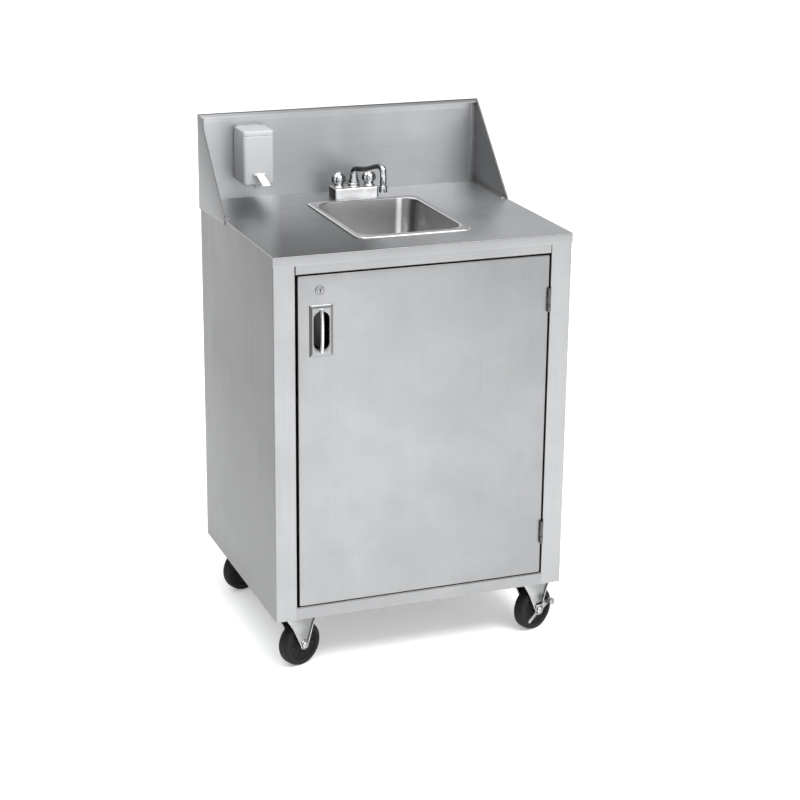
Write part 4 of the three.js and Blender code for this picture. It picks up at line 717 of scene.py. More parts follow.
def side_splash(name, side):
    bm = bmesh.new()
    low, high = Vector((73.5, 917)), Vector((259.5, SPLASH_TOP))
    run = (high - low).normalized()
    into = Vector((run.y, -run.x))
    near, far = low + into * 2, high + into * 2
    plate = [(SPLASH_REAR, 896), (73.5, 904), (73.5, 915.4), tuple(near), tuple(far), (262, SPLASH_TOP),
             (SPLASH_REAR, SPLASH_TOP)]
    x = sorted((side * RIGHT, side * (RIGHT + 2)))
    add_prism(bm, plate, "x", x[0], x[1], 0.5)
    hem = [tuple(low + run * 9 + into * 2), tuple(low + run * 9 + into * 9), tuple(high - run * 9 + into * 9),
           tuple(high - run * 9 + into * 2)]
    h = sorted((side * RIGHT, side * (RIGHT - 2)))
    add_prism(bm, hem, "x", h[0], h[1], 0.5)
    roll = [Vector((side * RIGHT, *p)) for p in (near + run * 4, far - run * 4)]
    add_tube(bm, roll, 1.98, 16)
    inner = (side * RIGHT, side * (RIGHT - 12))
    add_box(bm, inner, (82.5, 269.5), (COUNTER, COUNTER + 2), 0.5)
    add_box(bm, inner, (269.5, SPLASH_FACE), (COUNTER + 0.2, 1098), 0.5)
    fit(name, bm, STEEL_WING, "cabinet")


back_splash()
side_splash("left_side_splash", -1)
side_splash("right_side_splash", 1)

# Basin and drain


def basin():
    rows = [(22, 0.0, 914.0), (22, 0.3, 915.4), (22, 1.3, 916.5), (22, 3.0, 917.0), (26, 7.0, 917.0),
            (33, 11.0, 917.0), (37, 12.7, 916.7), (39, 13.9, 915.8), (40, 14.7, 914.2), (40, 15.1, 912.0),
            (40, 16.2, 880.0), (40, 17.4, 840.0), (40, 19.0, 798.0)]
    for degrees in range(10, 91, 10):
        a = math.radians(degrees)
        rows.append((40, 19 + 20 * (1 - math.cos(a)), 798 - 20 * math.sin(a)))
    rings = [(rounded(*BASIN, 131 - inset, 171.5 - inset, corner, 9), z) for corner, inset, z in rows]
    last = rings[-1][0]
    seat = rounded(*BASIN, 37, 37, 36.99, 9)
    for share in (0.15, 0.35, 0.6, 0.85, 1.0):
        ring = [tuple(Vector(a).lerp(Vector(b), share)) for a, b in zip(last, seat)]
        rings.append((ring, 778 - 4 * math.sin(share * math.pi / 2)))
    rings.append((rounded(*BASIN, 25, 25, 24.99, 9), 774))
    bm = bmesh.new()
    add_loft(bm, rings, "z", cap_start=False, cap_end=False)
    bowl = make("basin", bm, SATIN, 60)
    down = bowl.data.polygons[-1].normal.z < 0
    thick = bowl.modifiers.new("sheet", "SOLIDIFY")
    thick.thickness = 1.2 * M
    thick.offset = 1.0 if down else -1.0
    dress(bowl, "basin", "cabinet")


def drain():
    z = 774.0
    profile = [(0, -17), (21.5, -17), (21.5, 0.6), (23, 1.9), (26, 2.0), (31, 1.4), (33, 0.6), (33, 0),
               (24, 0), (24, -1.2), (34, -1.2), (34, -10.2), (24, -10.2), (24, -34), (22, -36.5),
               (18, -36.5), (18, -68), (15, -68), (15, -34), (21.5, -31.5), (21.5, -19), (0, -19)]
    bm = bmesh.new()
    add_lathe(bm, profile, "z", (*BASIN, z), 48)
    add_rod(bm, "z", (*BASIN, z), 4.2, -17.5, -15.2, 24, 0.6)
    for k in range(8):
        a = k * math.pi / 4
        x, y = BASIN[0] + 34 * math.cos(a), BASIN[1] + 34 * math.sin(a)
        add_box(bm, (x - 1.5, x + 1.0), (y - 1.5, y + 1.0), (z - 9.4, z - 2.2), 0.5)
    fitting = make("drain_fitting", bm, SATIN)
    holes = []
    for ring, count in ((13.0, 10), (7.6, 5)):
        for k in range(count):
            a = 2 * math.pi * k / count
            centre = (BASIN[0] + ring * math.cos(a), BASIN[1] + ring * math.sin(a), z)
            holes.append(cutter(lambda b, c=centre: add_rod(b, "z", c, 1.8, -24, -12, 12, 0)))
    carve(fitting, *holes)
    dress(fitting, "drain_fitting", "cabinet")


basin()
drain()

# Faucet


def faucet_base():
    bm = bmesh.new()
    rings = [(rounded(*FAUCET, 52, 24, 6, 6), COUNTER)]
    for fall, inset in quarter(2.4, 5):
        rings.append((rounded(*FAUCET, 52 - inset, 24 - inset, 6 - inset, 6), FAUCET_TOP - fall))
    add_loft(bm, rings, "z")
    for x, radius, rise in ((-SHANK_X, 12, 4), (0, 13, 8), (SHANK_X, 12, 4)):
        hub = [(0, -4), (radius + 1.4, -4), (radius + 1.4, -0.2), (radius, 1.0), (radius, rise - 1),
               (radius - 1, rise), (0, rise)]
        add_lathe(bm, hub, "z", (FAUCET[0] + x, FAUCET[1], FAUCET_TOP), 40)
    for x in (-SHANK_X, SHANK_X):
        centre = (FAUCET[0] + x, FAUCET[1], 0)
        thread = [(0, 870)]
        for k in range(18):
            thread += [(7.3, 870 + 2.0 * k), (8.0, 871 + 2.0 * k)]
        add_lathe(bm, thread + [(8, COUNTER + 1), (0, COUNTER + 1)], "z", centre, 24)
        add_prism(bm, disc(15, 6, centre), "z", UNDER - 6, UNDER, 0.6)
    fit("faucet_base", bm, BODY, "cabinet")


def knob(name, side, body):
    shares = [(0.66, 0), (0.72, 0.14), (0.98, 0.34), (1, 0.52), (0.9, 0.72), (0.66, 0.87), (0.5, 0.94),
              (0.42, 1)]
    curve = spline([(16.2 * r, 28.5 * h, 0) for r, h in shares], 30)
    sides, lobes = 64, 4
    centre = (FAUCET[0] + side * SHANK_X, FAUCET[1])
    rings = []
    for p in curve:
        wave = 0.1 * min(1.0, p.y / 8)
        ring = []
        for i in range(sides):
            a = 2 * math.pi * i / sides
            lobe = (1 + wave * (abs(math.cos(lobes * a / 2)) ** 0.7 * 2 - 1)) / 1.1
            ring.append((centre[0] + p.x * lobe * math.cos(a), centre[1] + p.x * lobe * math.sin(a)))
        rings.append((ring, FAUCET_TOP + 4.3 + p.y))
    bm = bmesh.new()
    add_loft(bm, rings, "z")
    fit(name, bm, CHROME, body, 50)


# The spout's turn at rest, and how far it reaches.
TURN = math.radians(7.4)
REACH = 142.0


def turned_spout(bm):
    """Turns what was made about the spout's own axis, and sets it on the faucet."""
    bmesh.ops.rotate(bm, verts=bm.verts, cent=(0, 0, 0), matrix=Matrix.Rotation(TURN, 3, "Z"))
    bmesh.ops.translate(bm, verts=bm.verts, vec=(*FAUCET, 0))


def spout():
    foot, neck, tip, bend = 944.3, 973.3, 1004.3, 14.0
    bm = bmesh.new()
    riser = [(0, foot), (10.9, foot), (11.5, foot + 0.7), (11.5, foot + 4), (10.6, foot + 6.5),
             (9.3, foot + 9), (8.6, foot + 12), (8.6, neck - 9), (8.2, neck - 7.6), (7.0, neck - 6.8),
             (0, neck - 6.8)]
    add_lathe(bm, riser, "z", (0, 0, 0), 40)
    path = spline([(0, 0, neck - bend), (0, 0, neck - bend / 3), (0, -bend / 2, neck + bend / 6),
                   (0, -REACH / 2, neck + 15.5), (0, bend - REACH, tip),
                   (0, bend / 4 - REACH, tip - bend / 4), (0, -REACH, tip - bend), (0, -REACH, tip - 39)],
                  72)
    add_tube(bm, path, 7.0, 28)
    turned_spout(bm)
    fit("faucet_spout", bm, CHROME, "spout", 40)


def aerator():
    top, low = 965.0, 950.0
    profile = [(0, top), (8.6, top), (9.2, top - 0.6), (9.2, top - 3), (8.7, top - 3.6), (9.2, top - 4.2),
               (9.2, low + 1), (8.4, low), (6.4, low), (6.0, low + 0.6), (6.0, low + 4), (0, low + 4)]
    bm = bmesh.new()
    add_lathe(bm, profile, "z", (0, -REACH, 0), 40)
    for k in range(24):
        a = 2 * math.pi * k / 24
        x, y = 8.9 * math.cos(a), 8.9 * math.sin(a) - REACH
        add_box(bm, (x - 0.3, x + 0.3), (y - 0.3, y + 0.3), (low + 2, top - 5), 0.1)
    turned_spout(bm)
    fit("faucet_aerator", bm, CHROME, "spout")


faucet_base()
knob("hot_handle", -1, "hot_knob")
knob("cold_handle", 1, "cold_knob")
spout()
aerator()

# Soap dispenser

# The dispenser's middle, its front and rear, its foot and top, and the pivot of its lever.
DX = -216.5
DY0, DY1, DZ0, DZ1 = 189.5, 271.5, 958.0, 1078.0
LEVER_Y, LEVER_Z = 185.8, 982.0


def dispenser():
    middle = (DX, (DY0 + DY1) / 2)
    bm = bmesh.new()
    shell = rounded(*middle, 35, 41, 8, 8)
    rings = []
    for inset, rise in quarter(4, 4):
        rings.append((shrink(shell, inset), DZ0 + rise))
    rings += [(shell, DZ1 - 12.4), (shrink(shell, 0.5), DZ1 - 11.6), (shrink(shell, 0.5), DZ1 - 10.3)]
    add_loft(bm, rings, "z")
    tank = make("dispenser_tank", bm, GREY)
    hollow = rounded(DX, 224.5, 32, 32, 5, 6)
    carve(tank, cutter(lambda b: add_prism(b, hollow, "z", DZ0 + 4, DZ1)))
    bm = reopened(tank)
    add_box(bm, (DX - 27, DX + 27), (264.8, DY1), (DZ1 - 15.3, DZ1), 0.8)
    for side in (-1, 1):
        start = DX + side * 9.3
        lug = [(191.5, LEVER_Z + 3.4)] + arc(LEVER_Y, LEVER_Z, 3.4, 90, 270, 10) + [(191.5, LEVER_Z - 3.4)]
        add_prism(bm, lug, "x", *sorted((start, start + side * 4)), 0.5)
        add_rod(bm, "x", (start, LEVER_Y, LEVER_Z), 1.6, *sorted((0, side * 4.6)), 20, 0.3)
    fit("dispenser_tank", bm, GREY, "cabinet")

    bm = bmesh.new()
    lid = (arc(DX - 27, DY0 + 8, 8, 180, 270, 8) + arc(DX + 27, DY0 + 8, 8, 270, 360, 8)
           + [(DX + 35, 259.5), (DX - 35, 259.5)])
    rings = [(shrink(lid, 0.4), DZ1 - 10), (lid, DZ1 - 9.4), (lid, DZ1 - 3)]
    for k in range(1, 5):
        a = math.radians(90 * k / 4)
        rings.append((shrink(lid, 3 * (1 - math.cos(a))), DZ1 - 3 + 3 * math.sin(a)))
    add_loft(bm, rings, "z")
    add_rod(bm, "x", (DX, 259.5, DZ1 - 5), 5, -35, 35, 32, 0.8)
    fit("dispenser_lid", bm, GREY, "lid")

    bm = bmesh.new()
    profile = [(0, -0.3), (8, -0.3), (8, -3), (7.4, -3.6), (7.4, -5), (8, -5.6), (7.4, -6.6), (5.4, -7.4),
               (5, -8), (5, -11.3), (4.2, -12), (3, -12), (3, -9), (0, -9)]
    add_lathe(bm, profile, "z", (DX, 213.5, DZ0), 40)
    fit("dispenser_valve", bm, WHITE, "cabinet")

    bm = bmesh.new()
    reach, drop, half = 50.0, 14.0, 2.0
    run = Vector((-reach, -drop)).normalized()
    up = Vector((run.y, -run.x))
    start, tip = Vector((LEVER_Y, LEVER_Z)), Vector((LEVER_Y - reach, LEVER_Z - drop))
    line = [start + up * half, tip - run * 2 + up * half, tip + up * (half * 0.2), tip - up * (half * 0.6),
            tip - run * 2 - up * half, start - up * half]
    add_prism(bm, [tuple(p) for p in line], "x", DX - 9, DX + 9, 1.2, 3)
    add_rod(bm, "x", (DX, LEVER_Y, LEVER_Z), 3.4, -9, 9, 28, 0.5)
    for k in range(4):
        p = tip - run * (6 + 4 * k) + up * half
        add_rod(bm, "x", (DX, p.x, p.y - 0.3), 0.7, -6.5, 6.5, 10, 0.2)
    fit("dispenser_lever", bm, WHITE, "lever")


dispenser()

# Door

# The middles of the pull and the lock on the door's face.
PULL = (-228.5, 753.0)
LOCK = (-231.0, 838.0)


def well(grow):
    """The outline of the pull's recess, made larger all round."""
    return rounded(*PULL, 16 + grow, 40.5 + grow, 15.98 + grow, 12)


def door():
    bm = bmesh.new()
    x, z = (DOOR_L - PAST_L, DOOR_R + PAST_R), (DOOR_LOW - PAST_LOW, DOOR_TOP + PAST_TOP)
    centre, half = ((x[0] + x[1]) / 2, (z[0] + z[1]) / 2), ((x[1] - x[0]) / 2, (z[1] - z[0]) / 2)
    rings = []
    for inset, rise in quarter(2.4, 5):
        rings.append((rounded(*centre, half[0] - inset, half[1] - inset, 2.4, 4), FRONT + rise))
    rings.append((rounded(*centre, *half, 2.4, 4), FRONT + DOOR_DEEP - SHEET))
    inner = rounded(*centre, half[0] - SHEET, half[1] - SHEET, 1.2, 4)
    rings += [(inner, FRONT + DOOR_DEEP - SHEET), (inner, FRONT + SHEET)]
    add_loft(bm, rings, "y")
    skin = make("door_skin", bm, STEEL_DOOR, 50)
    carve(skin, cutter(lambda b: add_prism(b, well(2.3), "y", FRONT - 5, FRONT + 5)),
          cutter(lambda b: add_rod(b, "y", (LOCK[0], 0, LOCK[1]), 8.8, FRONT - 5, FRONT + 5, 32, 0)))
    dress(skin, "door_skin", "door")
    paint("door_liner", STEEL_Z, 0.4)


def door_pull():
    face = FRONT - 3.5
    plate = lambda inset, y: (rounded(*PULL, 25.5 - inset, 55 - inset, 2.6 - inset * 0.2, 12), y)
    cup = [(well(-3), FRONT + 16), (well(-1), FRONT + 15.4), (well(0.5), FRONT + 13.5), (well(2), FRONT + 7),
           (well(2), FRONT)]
    outer = [plate(0, FRONT), plate(0, FRONT - 0.7), plate(0.4, FRONT - 1.1), plate(5.6, FRONT - 3.3),
             plate(6.2, face)]
    inside = [(well(1.6), face), (well(0.7), face + 0.5), (well(0.3), face + 1.4), (well(0), FRONT),
              (well(-1.6), FRONT + 8), (well(-3), FRONT + 12.5), (well(-5.5), FRONT + 14)]
    bm = bmesh.new()
    add_loft(bm, cup + outer + inside, "y")
    x, z = PULL
    root, bow = 44.5, face - 4
    half = [(1.0, face + 1.2), (0.86, face - 1.2), (0.62, (face + bow) / 2 - 0.8), (0.3, bow)]
    upper = [(x, y, z + root * share) for share, y in half]
    lower = [(x, y, z - root * share) for share, y in reversed(half)]
    path = spline(upper + lower, 56)
    thick = lambda share: 4.2 + 0.9 * (1 - math.sin(math.pi * share)) ** 4
    add_tube(bm, path, thick, 24)
    fit("door_pull", bm, PLATED, "door", 40)


def lock():
    near, far = FRONT, FRONT + DOOR_DEEP
    centre = (LOCK[0], 0, LOCK[1])
    bm = bmesh.new()
    profile = [(6.3, near - 2.4), (6.8, near - 3), (8.3, near - 3), (9.4, near - 2.3), (10, near - 1.2),
               (10, near), (8.5, near), (8.5, far), (12, far), (12, far + 3), (6.3, far + 3)]
    add_lathe(bm, profile, "y", centre, 48, closed=True)
    fit("lock_body", bm, KEYWAY, "door")

    bm = bmesh.new()
    near, far = near - 3, far + 3.3
    add_rod(bm, "y", centre, 6, near, far + 2, 40, 0.4)
    cam = arc(*LOCK, 8, 50, 310, 20) + arc(LOCK[0] + 40, LOCK[1], 6, -90, 90, 12)
    add_prism(bm, cam, "y", far, far + 2, 0.3)
    add_prism(bm, disc(5.5, 6, LOCK), "y", far - 0.2, far + 1.9, 0.3)
    plug = make("lock_plug", bm, KEYWAY)
    x, z = LOCK
    slot = cutter(lambda b: add_box(b, (x - 1.2, x + 1.2), (near - 5, near + 5), (z - 4, z + 4), 0))
    wide = cutter(lambda b: add_rod(b, "y", (x, 0, z + 1.2), 2.6, near - 5, near + 5, 16, 0))
    carve(plug, slot, wide)
    dress(plug, "lock_plug", "lock")


# The hinge pins' line, seen from above.
HINGE = (278.75, -271.3)


def hinge(end, z):
    third = 52 / 6
    x, y = HINGE
    bm = bmesh.new()
    add_box(bm, (281.5, 283), (FRONT + 0.3, FRONT + 12), (z - 26, z + 26), 0.3)
    for side in (-1, 1):
        low, high = sorted((side * (third + 0.3), side * 26))
        add_rod(bm, "z", (x, y, z), 3.5, low, high, 28, 0.4)
        add_rod(bm, "z", (x, y, z), 2.2, *sorted((side * 25.6, side * 26)), 20, 0.1)
        add_box(bm, (x, 283), (y - 0.7, y + 0.8), (z + low, z + high), 0.3)
        add_box(bm, (281.5, 283), (y, FRONT + 0.6), (z + low, z + high), 0.3)
    add_rod(bm, "z", (x, y, z), 1.6, -26, 26, 16, 0.1)
    name = end + "_hinge_frame_leaf"
    fit(name, bm, HINGE_STEEL, "cabinet")
    bm = bmesh.new()
    add_box(bm, (274.5, 276), (FRONT + 0.3, FRONT + 12), (z - 26, z + 26), 0.3)
    add_lathe(bm, [(1.9, -third + 0.3), (3.1, -third + 0.3), (3.5, -third + 0.7), (3.5, third - 0.7),
                   (3.1, third - 0.3), (1.9, third - 0.3)], "z", (x, y, z), 28, closed=True)
    add_box(bm, (274.5, 276), (y, FRONT + 0.6), (z - third + 0.3, z + third - 0.3), 0.3)
    name = end + "_hinge_door_leaf"
    fit(name, bm, HINGE_STEEL, "door")


door()
door_pull()
lock()
hinge("top", 773.0)
hinge("bottom", 244.0)

# Tanks and plumbing


def tank(name, cx, cy, width, depth, height, neck, handle_y):
    half, top = (width / 2, depth / 2), PAN_TOP + height
    ring = lambda inset, z: (rounded(cx, cy, half[0] - inset, half[1] - inset, 30 - inset / 2, 8), z)
    rings = [ring(8, PAN_TOP), ring(4, PAN_TOP + 1.4), ring(1.4, PAN_TOP + 4), ring(0, PAN_TOP + 9)]
    for share in (0.22, 0.44, 0.66):
        z = PAN_TOP + height * share
        rings += [ring(0, z - 5), ring(1.6, z - 3.4), ring(1.6, z + 3.4), ring(0, z + 5)]
    rings += [ring(0, top - 14), ring(1, top - 9), ring(4, top - 4), ring(10, top - 1.4), ring(20, top)]
    bm = bmesh.new()
    add_loft(bm, rings, "z")
    nx, ny, radius = neck
    screw = [(radius + 3, -14), (radius + 3, 0.2)]
    for k in range(4):
        screw += [(radius - 1.2, 1.4 + 3.2 * k), (radius - 0.1, 2.6 + 3.2 * k), (radius - 1.2, 3.8 + 3.2 * k)]
    add_lathe(bm, [(0, -14)] + screw + [(radius - 1.2, 15), (0, 15)], "z", (nx, ny, top), 48)
    path = spline([(cx - 52, handle_y, top - 8), (cx - 52, handle_y, top + 22),
                   (cx - 40, handle_y, top + 34), (cx + 40, handle_y, top + 34),
                   (cx + 52, handle_y, top + 22), (cx + 52, handle_y, top - 8)], 60)
    add_tube(bm, path, lambda s: 7.9 if 0.3 < s < 0.7 else 7.4, 20)
    for side in (-1, 1):
        foot = [(11.5, -2), (11, 0.6), (9, 2.6), (7.4, 5.5), (7.3, 8)]
        add_lathe(bm, foot, "z", (cx + side * 52, handle_y, top), 28)
    fit(name, bm, TANK, "cabinet", 40)


def tank_cap(name, nx, ny, neck, stub, top, barbed):
    bore, crown = neck + 0.3, top + 15.3
    sides = 96
    plain = lambda radius, z: (disc(radius, sides, (nx, ny)), z)
    ribs = lambda radius: zip(disc(radius, sides, (nx, ny)), disc(radius - 0.7, sides, (nx, ny)))
    grip = lambda radius, z: ([pair[i % 4 > 1] for i, pair in enumerate(ribs(radius))], z)
    rings = [plain(bore, crown), plain(bore, top + 0.3), plain(bore + 3.6, top + 0.3),
             grip(bore + 4, top + 1.2), grip(bore + 4, crown), plain(bore + 3, crown + 2.4),
             plain(bore, crown + 4), plain(stub + 3, crown + 4), plain(stub, crown + 4.6)]
    if barbed:
        rings += [plain(stub + 1, crown + 5.4), plain(stub, crown + 11), plain(stub + 1, crown + 11.4)]
    rings += [plain(stub, crown + 17.4), plain(stub - 0.6, crown + 18)]
    bm = bmesh.new()
    add_loft(bm, rings, "z")
    fit(name, bm, DARK, "cabinet")


FRESH_TOP, WASTE_TOP = PAN_TOP + 320, PAN_TOP + 380
tank("fresh_tank", 130, -90, 220, 280, 320, (130, 5, 24), -110)
tank("waste_tank", -165, -80, 250, 300, 380, (-85, -4.5, 30), -120)
tank_cap("fresh_tank_cap", 130, 5, 24, 5, FRESH_TOP, True)
tank_cap("waste_tank_cap", -85, -4.5, 30, 17, WASTE_TOP, False)


def add_barb(bm, centre, direction):
    """A hose barb that points up (1) or down (-1)."""
    profile = [(0, 0), (5, 0)]
    ridge = ((5.1, 0.4), (5.95, 0.9), (5.0, 4.4))
    for k in range(3):
        profile += [(radius, direction * (rise + 4.6 * k)) for radius, rise in ridge]
    add_lathe(bm, profile + [(4.4, direction * 14), (0, direction * 14)], "z", centre, 28)


def pump():
    axis_y, z, x = 233.0, 612.0, 205.0
    bm = bmesh.new()
    motor = [(0, -54), (27, -54), (28.4, -52.6)]
    for k in range(16):
        motor += [(29, -50 + 6.2 * k), (29, -47 + 6.2 * k), (27, -46.4 + 6.2 * k), (27, -44.4 + 6.2 * k)]
    motor += [(29, 50.5), (29, 52.5), (28, 54), (24, 54), (24, 60.5), (22.5, 62), (0, 62)]
    add_lathe(bm, motor, "x", (x, axis_y, z), 48)
    head = rounded(axis_y, z, 30, 35, 8, 6)
    add_prism(bm, head, "x", 109, 151.3, 1.6, 3)
    add_prism(bm, shrink(head, 4), "x", 107.9, 110, 0.8)
    for u, v in ((-21, -26), (21, -26), (21, 26), (-21, 26)):
        add_rod(bm, "x", (108, axis_y + u, z + v), 3.2, -1.6, 1, 6, 0.4)
    for fx in (x - 27, x + 36):
        add_box(bm, (fx - 8, fx + 8), (axis_y, BACK_INNER), (z - 23, z + 23), 0.8)
        add_box(bm, (fx - 8, fx + 8), (BACK_INNER - 4, BACK_INNER), (z - 42, z + 42), 0.8)
        for v in (-34, 34):
            add_rod(bm, "y", (fx, 0, z + v), 3.6, BACK_INNER - 6.4, BACK_INNER - 3.6, 6, 0.4)
    add_barb(bm, (130, axis_y, z - 35), -1)
    low, high = 646.7, 681
    run = [(0, low), (7, low), (7, low + 5), (6, low + 5.6), (6, low + 8), (7, low + 8.6), (7, low + 26),
           (6, low + 26.6), (6, low + 29), (7, low + 29.6), (7, high - 0.6), (6.4, high), (0, high)]
    add_lathe(bm, run, "z", (130, axis_y, 0), 32)
    branch = [(0, -20), (6.4, -20), (7, -19.4), (7, -14), (6, -13.4), (6, -11), (7, -10.4), (7, 0), (0, 0)]
    add_lathe(bm, branch, "x", (130, axis_y, 664), 32)
    fit("water_pump", bm, DARK, "cabinet")


def heater():
    bm = bmesh.new()
    middle = (-180, BACK_INNER - 42)
    ring = lambda inset, z: (rounded(*middle, 90 - inset, 42 - inset * 0.25, 14 - inset * 0.6, 8), z)
    rings = [ring(6, 560), ring(3.2, 560.8), ring(1, 563), ring(0, 566), ring(0, 660), ring(0.9, 660.8),
             ring(0.9, 662.2), ring(0, 663), ring(0, 784), ring(1, 787), ring(3.2, 789.2), ring(6, 790)]
    add_loft(bm, rings, "z")
    for x in (-256, -104):
        for z in (572, 650):
            add_rod(bm, "y", (x, 0, z), 3, 181.2, 183, 24, 0.5)
    add_barb(bm, (-136, 224, 790), 1)
    add_barb(bm, (-136, 224, 560), -1)
    fit("water_heater", bm, SHELL, "cabinet", 40)


def hose(name, points, radius=7, material=HOSE):
    path = spline(points, 90)
    bm = bmesh.new()
    add_tube(bm, path, radius, 24)
    fit(name, bm, material, "cabinet", 50)


def hoses():
    cap = (130, 5, FRESH_TOP + 19.3 + 14)
    pump_in, heater_in, heater_out = 612 - 35 - 14 - 0.3, 560 - 14.3, 790 + 14.3
    tee_top, branch_x, branch_z = 681.3, 109.7, 664
    shank = 914 - 44 - 0.3
    hot_x, cold_x, shank_y = FAUCET[0] - SHANK_X, FAUCET[0] + SHANK_X, FAUCET[1]
    head_x, y, port_x, port_y = 130, 233, -136, 224
    drain_end = 774 - 34 - 34 - 0.3
    wx, wy, waste_end = -85, -4.5, WASTE_TOP + 19.3 + 14.3
    hose("suction_hose", [(cap[0], cap[1], cap[2] + 0.3), (cap[0], cap[1], cap[2] + 22),
                          ((cap[0] + head_x) / 2, (cap[1] + y) / 2, pump_in - 42), (head_x, y, pump_in - 26),
                          (head_x, y, pump_in)])
    hose("cold_hose", [(head_x, y, tee_top), (head_x, y, tee_top + 40),
                       ((head_x + cold_x) / 2, (y + shank_y) / 2, tee_top + 95),
                       (cold_x, shank_y, shank - 36), (cold_x, shank_y, shank)])
    hose("heater_feed_hose", [(branch_x, y, branch_z), (branch_x - 30, y, branch_z),
                              ((branch_x + port_x) / 2, y, heater_in + 40),
                              (port_x + 26, port_y, heater_in - 34), (port_x, port_y, heater_in - 22),
                              (port_x, port_y, heater_in)])
    hose("hot_hose", [(port_x, port_y, heater_out), (port_x, port_y, heater_out + 14),
                      ((port_x + hot_x) / 2, (port_y + shank_y) / 2, heater_out + 26),
                      (hot_x, shank_y, shank - 26), (hot_x, shank_y, shank)])
    hose("drain_hose", [(*BASIN, drain_end), (*BASIN, drain_end - 34),
                        ((BASIN[0] + wx) / 2, (BASIN[1] + wy) / 2, (drain_end + waste_end) / 2),
                        (wx, wy, waste_end + 34), (wx, wy, waste_end)], 17, DRAIN)


def power_inlet():
    x, z, mouth = -190, 205, 270.5
    bm = bmesh.new()
    add_prism(bm, rounded(x, z, 31, 31, 8, 6), "y", BACK, mouth, 0.8)
    add_rod(bm, "y", (x, 0, z), 24, mouth - 26, BACK + 0.3, 48, 0.8)
    body = make("power_inlet", bm, DARK)
    carve(body, cutter(lambda b: add_rod(b, "y", (x, 0, z), 20, mouth - 20, mouth + 5, 48, 0)))
    bm = reopened(body)
    bottom = mouth - 20
    for side in (-1, 1):
        add_box(bm, (x + side * 6.35 - 0.8, x + side * 6.35 + 0.8), (bottom - 0.3, bottom + 16),
                (z, z + 6.4), 0.3)
    add_rod(bm, "y", (x, 0, z - 11), 2.4, bottom - 0.3, bottom + 16, 20, 1.2)
    for u in (-24, 24):
        for v in (-24, 24):
            add_rod(bm, "y", (x + u, 0, z + v), 3.0, mouth - 0.5, mouth + 0.9, 20, 0.5)
    fit("power_inlet", bm, DARK, "cabinet")


pump()
heater()
hoses()
power_inlet()

# Casters

# A fork's leg has three faces, counted from the wheel outwards. Its top reaches LEAD ahead of the
# swivel's axis and TAIL behind it. SWING is the turn of the casters at rest.
AXLE_X, AXLE_Z, LEG_IN, LEG_MID, LEG_OUT = 14.0, 50.0, 15.5, 17.7, 20.1
FORK_TOP, PLATE_LOW, LEAD, TAIL = 125.7, 130.5, 38.0, 54.0
SWING = math.radians(22.5)
# How far each caster stands to the side of the middle.
CASTER_X = 276.0


def stand(obj, place):
    """Swings a caster's piece to the rest position and stands it under its corner."""
    obj.data.transform(Matrix.Translation((place[0] * M, place[1] * M, 0)) @ Matrix.Rotation(SWING, 4, "Z"))
    return obj


def caster_plate(name, place):
    x, y = place
    bm = bmesh.new()
    add_prism(bm, rounded(x, y, 46, 30, 6, 5), "z", PLATE_LOW, PLATE_LOW + 2.5, 0.4)
    low = FORK_TOP + 0.3
    dome = [(0, low), (24, low), (26.4, low + 0.5), (27, low + 1.6), (26.4, low + 2.8), (25, low + 3.6),
            (23.5, low + 4.6), (0, low + 4.6)]
    add_lathe(bm, dome, "z", (x, y, 0), 48)
    for u in (-37, 37):
        for v in (-21, 21):
            washer = [(0, PLATE_LOW - 1.2), (7.5, PLATE_LOW - 1.2), (7.5, PLATE_LOW), (0, PLATE_LOW)]
            add_lathe(bm, washer, "z", (x + u, y + v, 0), 28)
            add_prism(bm, disc(5.6, 6, (x + u, y + v)), "z", PLATE_LOW - 5.1, PLATE_LOW - 1.1, 0.5)
    fit(name, bm, ZINC, "cabinet")


def leg_outline(inset):
    tip = 11 - inset
    lead, tail = inset - LEAD, TAIL - inset
    top = FORK_TOP - inset
    waist = AXLE_Z + (FORK_TOP - AXLE_Z) * 0.55
    between = lambda outer, inner: outer + (inner - outer) * 0.52
    left = bend_path([(lead, top), (between(lead, AXLE_X - tip), waist), (AXLE_X - tip, AXLE_Z)], 26, 6)
    right = bend_path([(AXLE_X + tip, AXLE_Z), (between(tail, AXLE_X + tip), waist), (tail, top)], 26, 6)
    foot = arc(AXLE_X, AXLE_Z, tip, 180, 360, 14)[1:-1]
    return [tuple(p) for p in left] + foot + [tuple(p) for p in right]


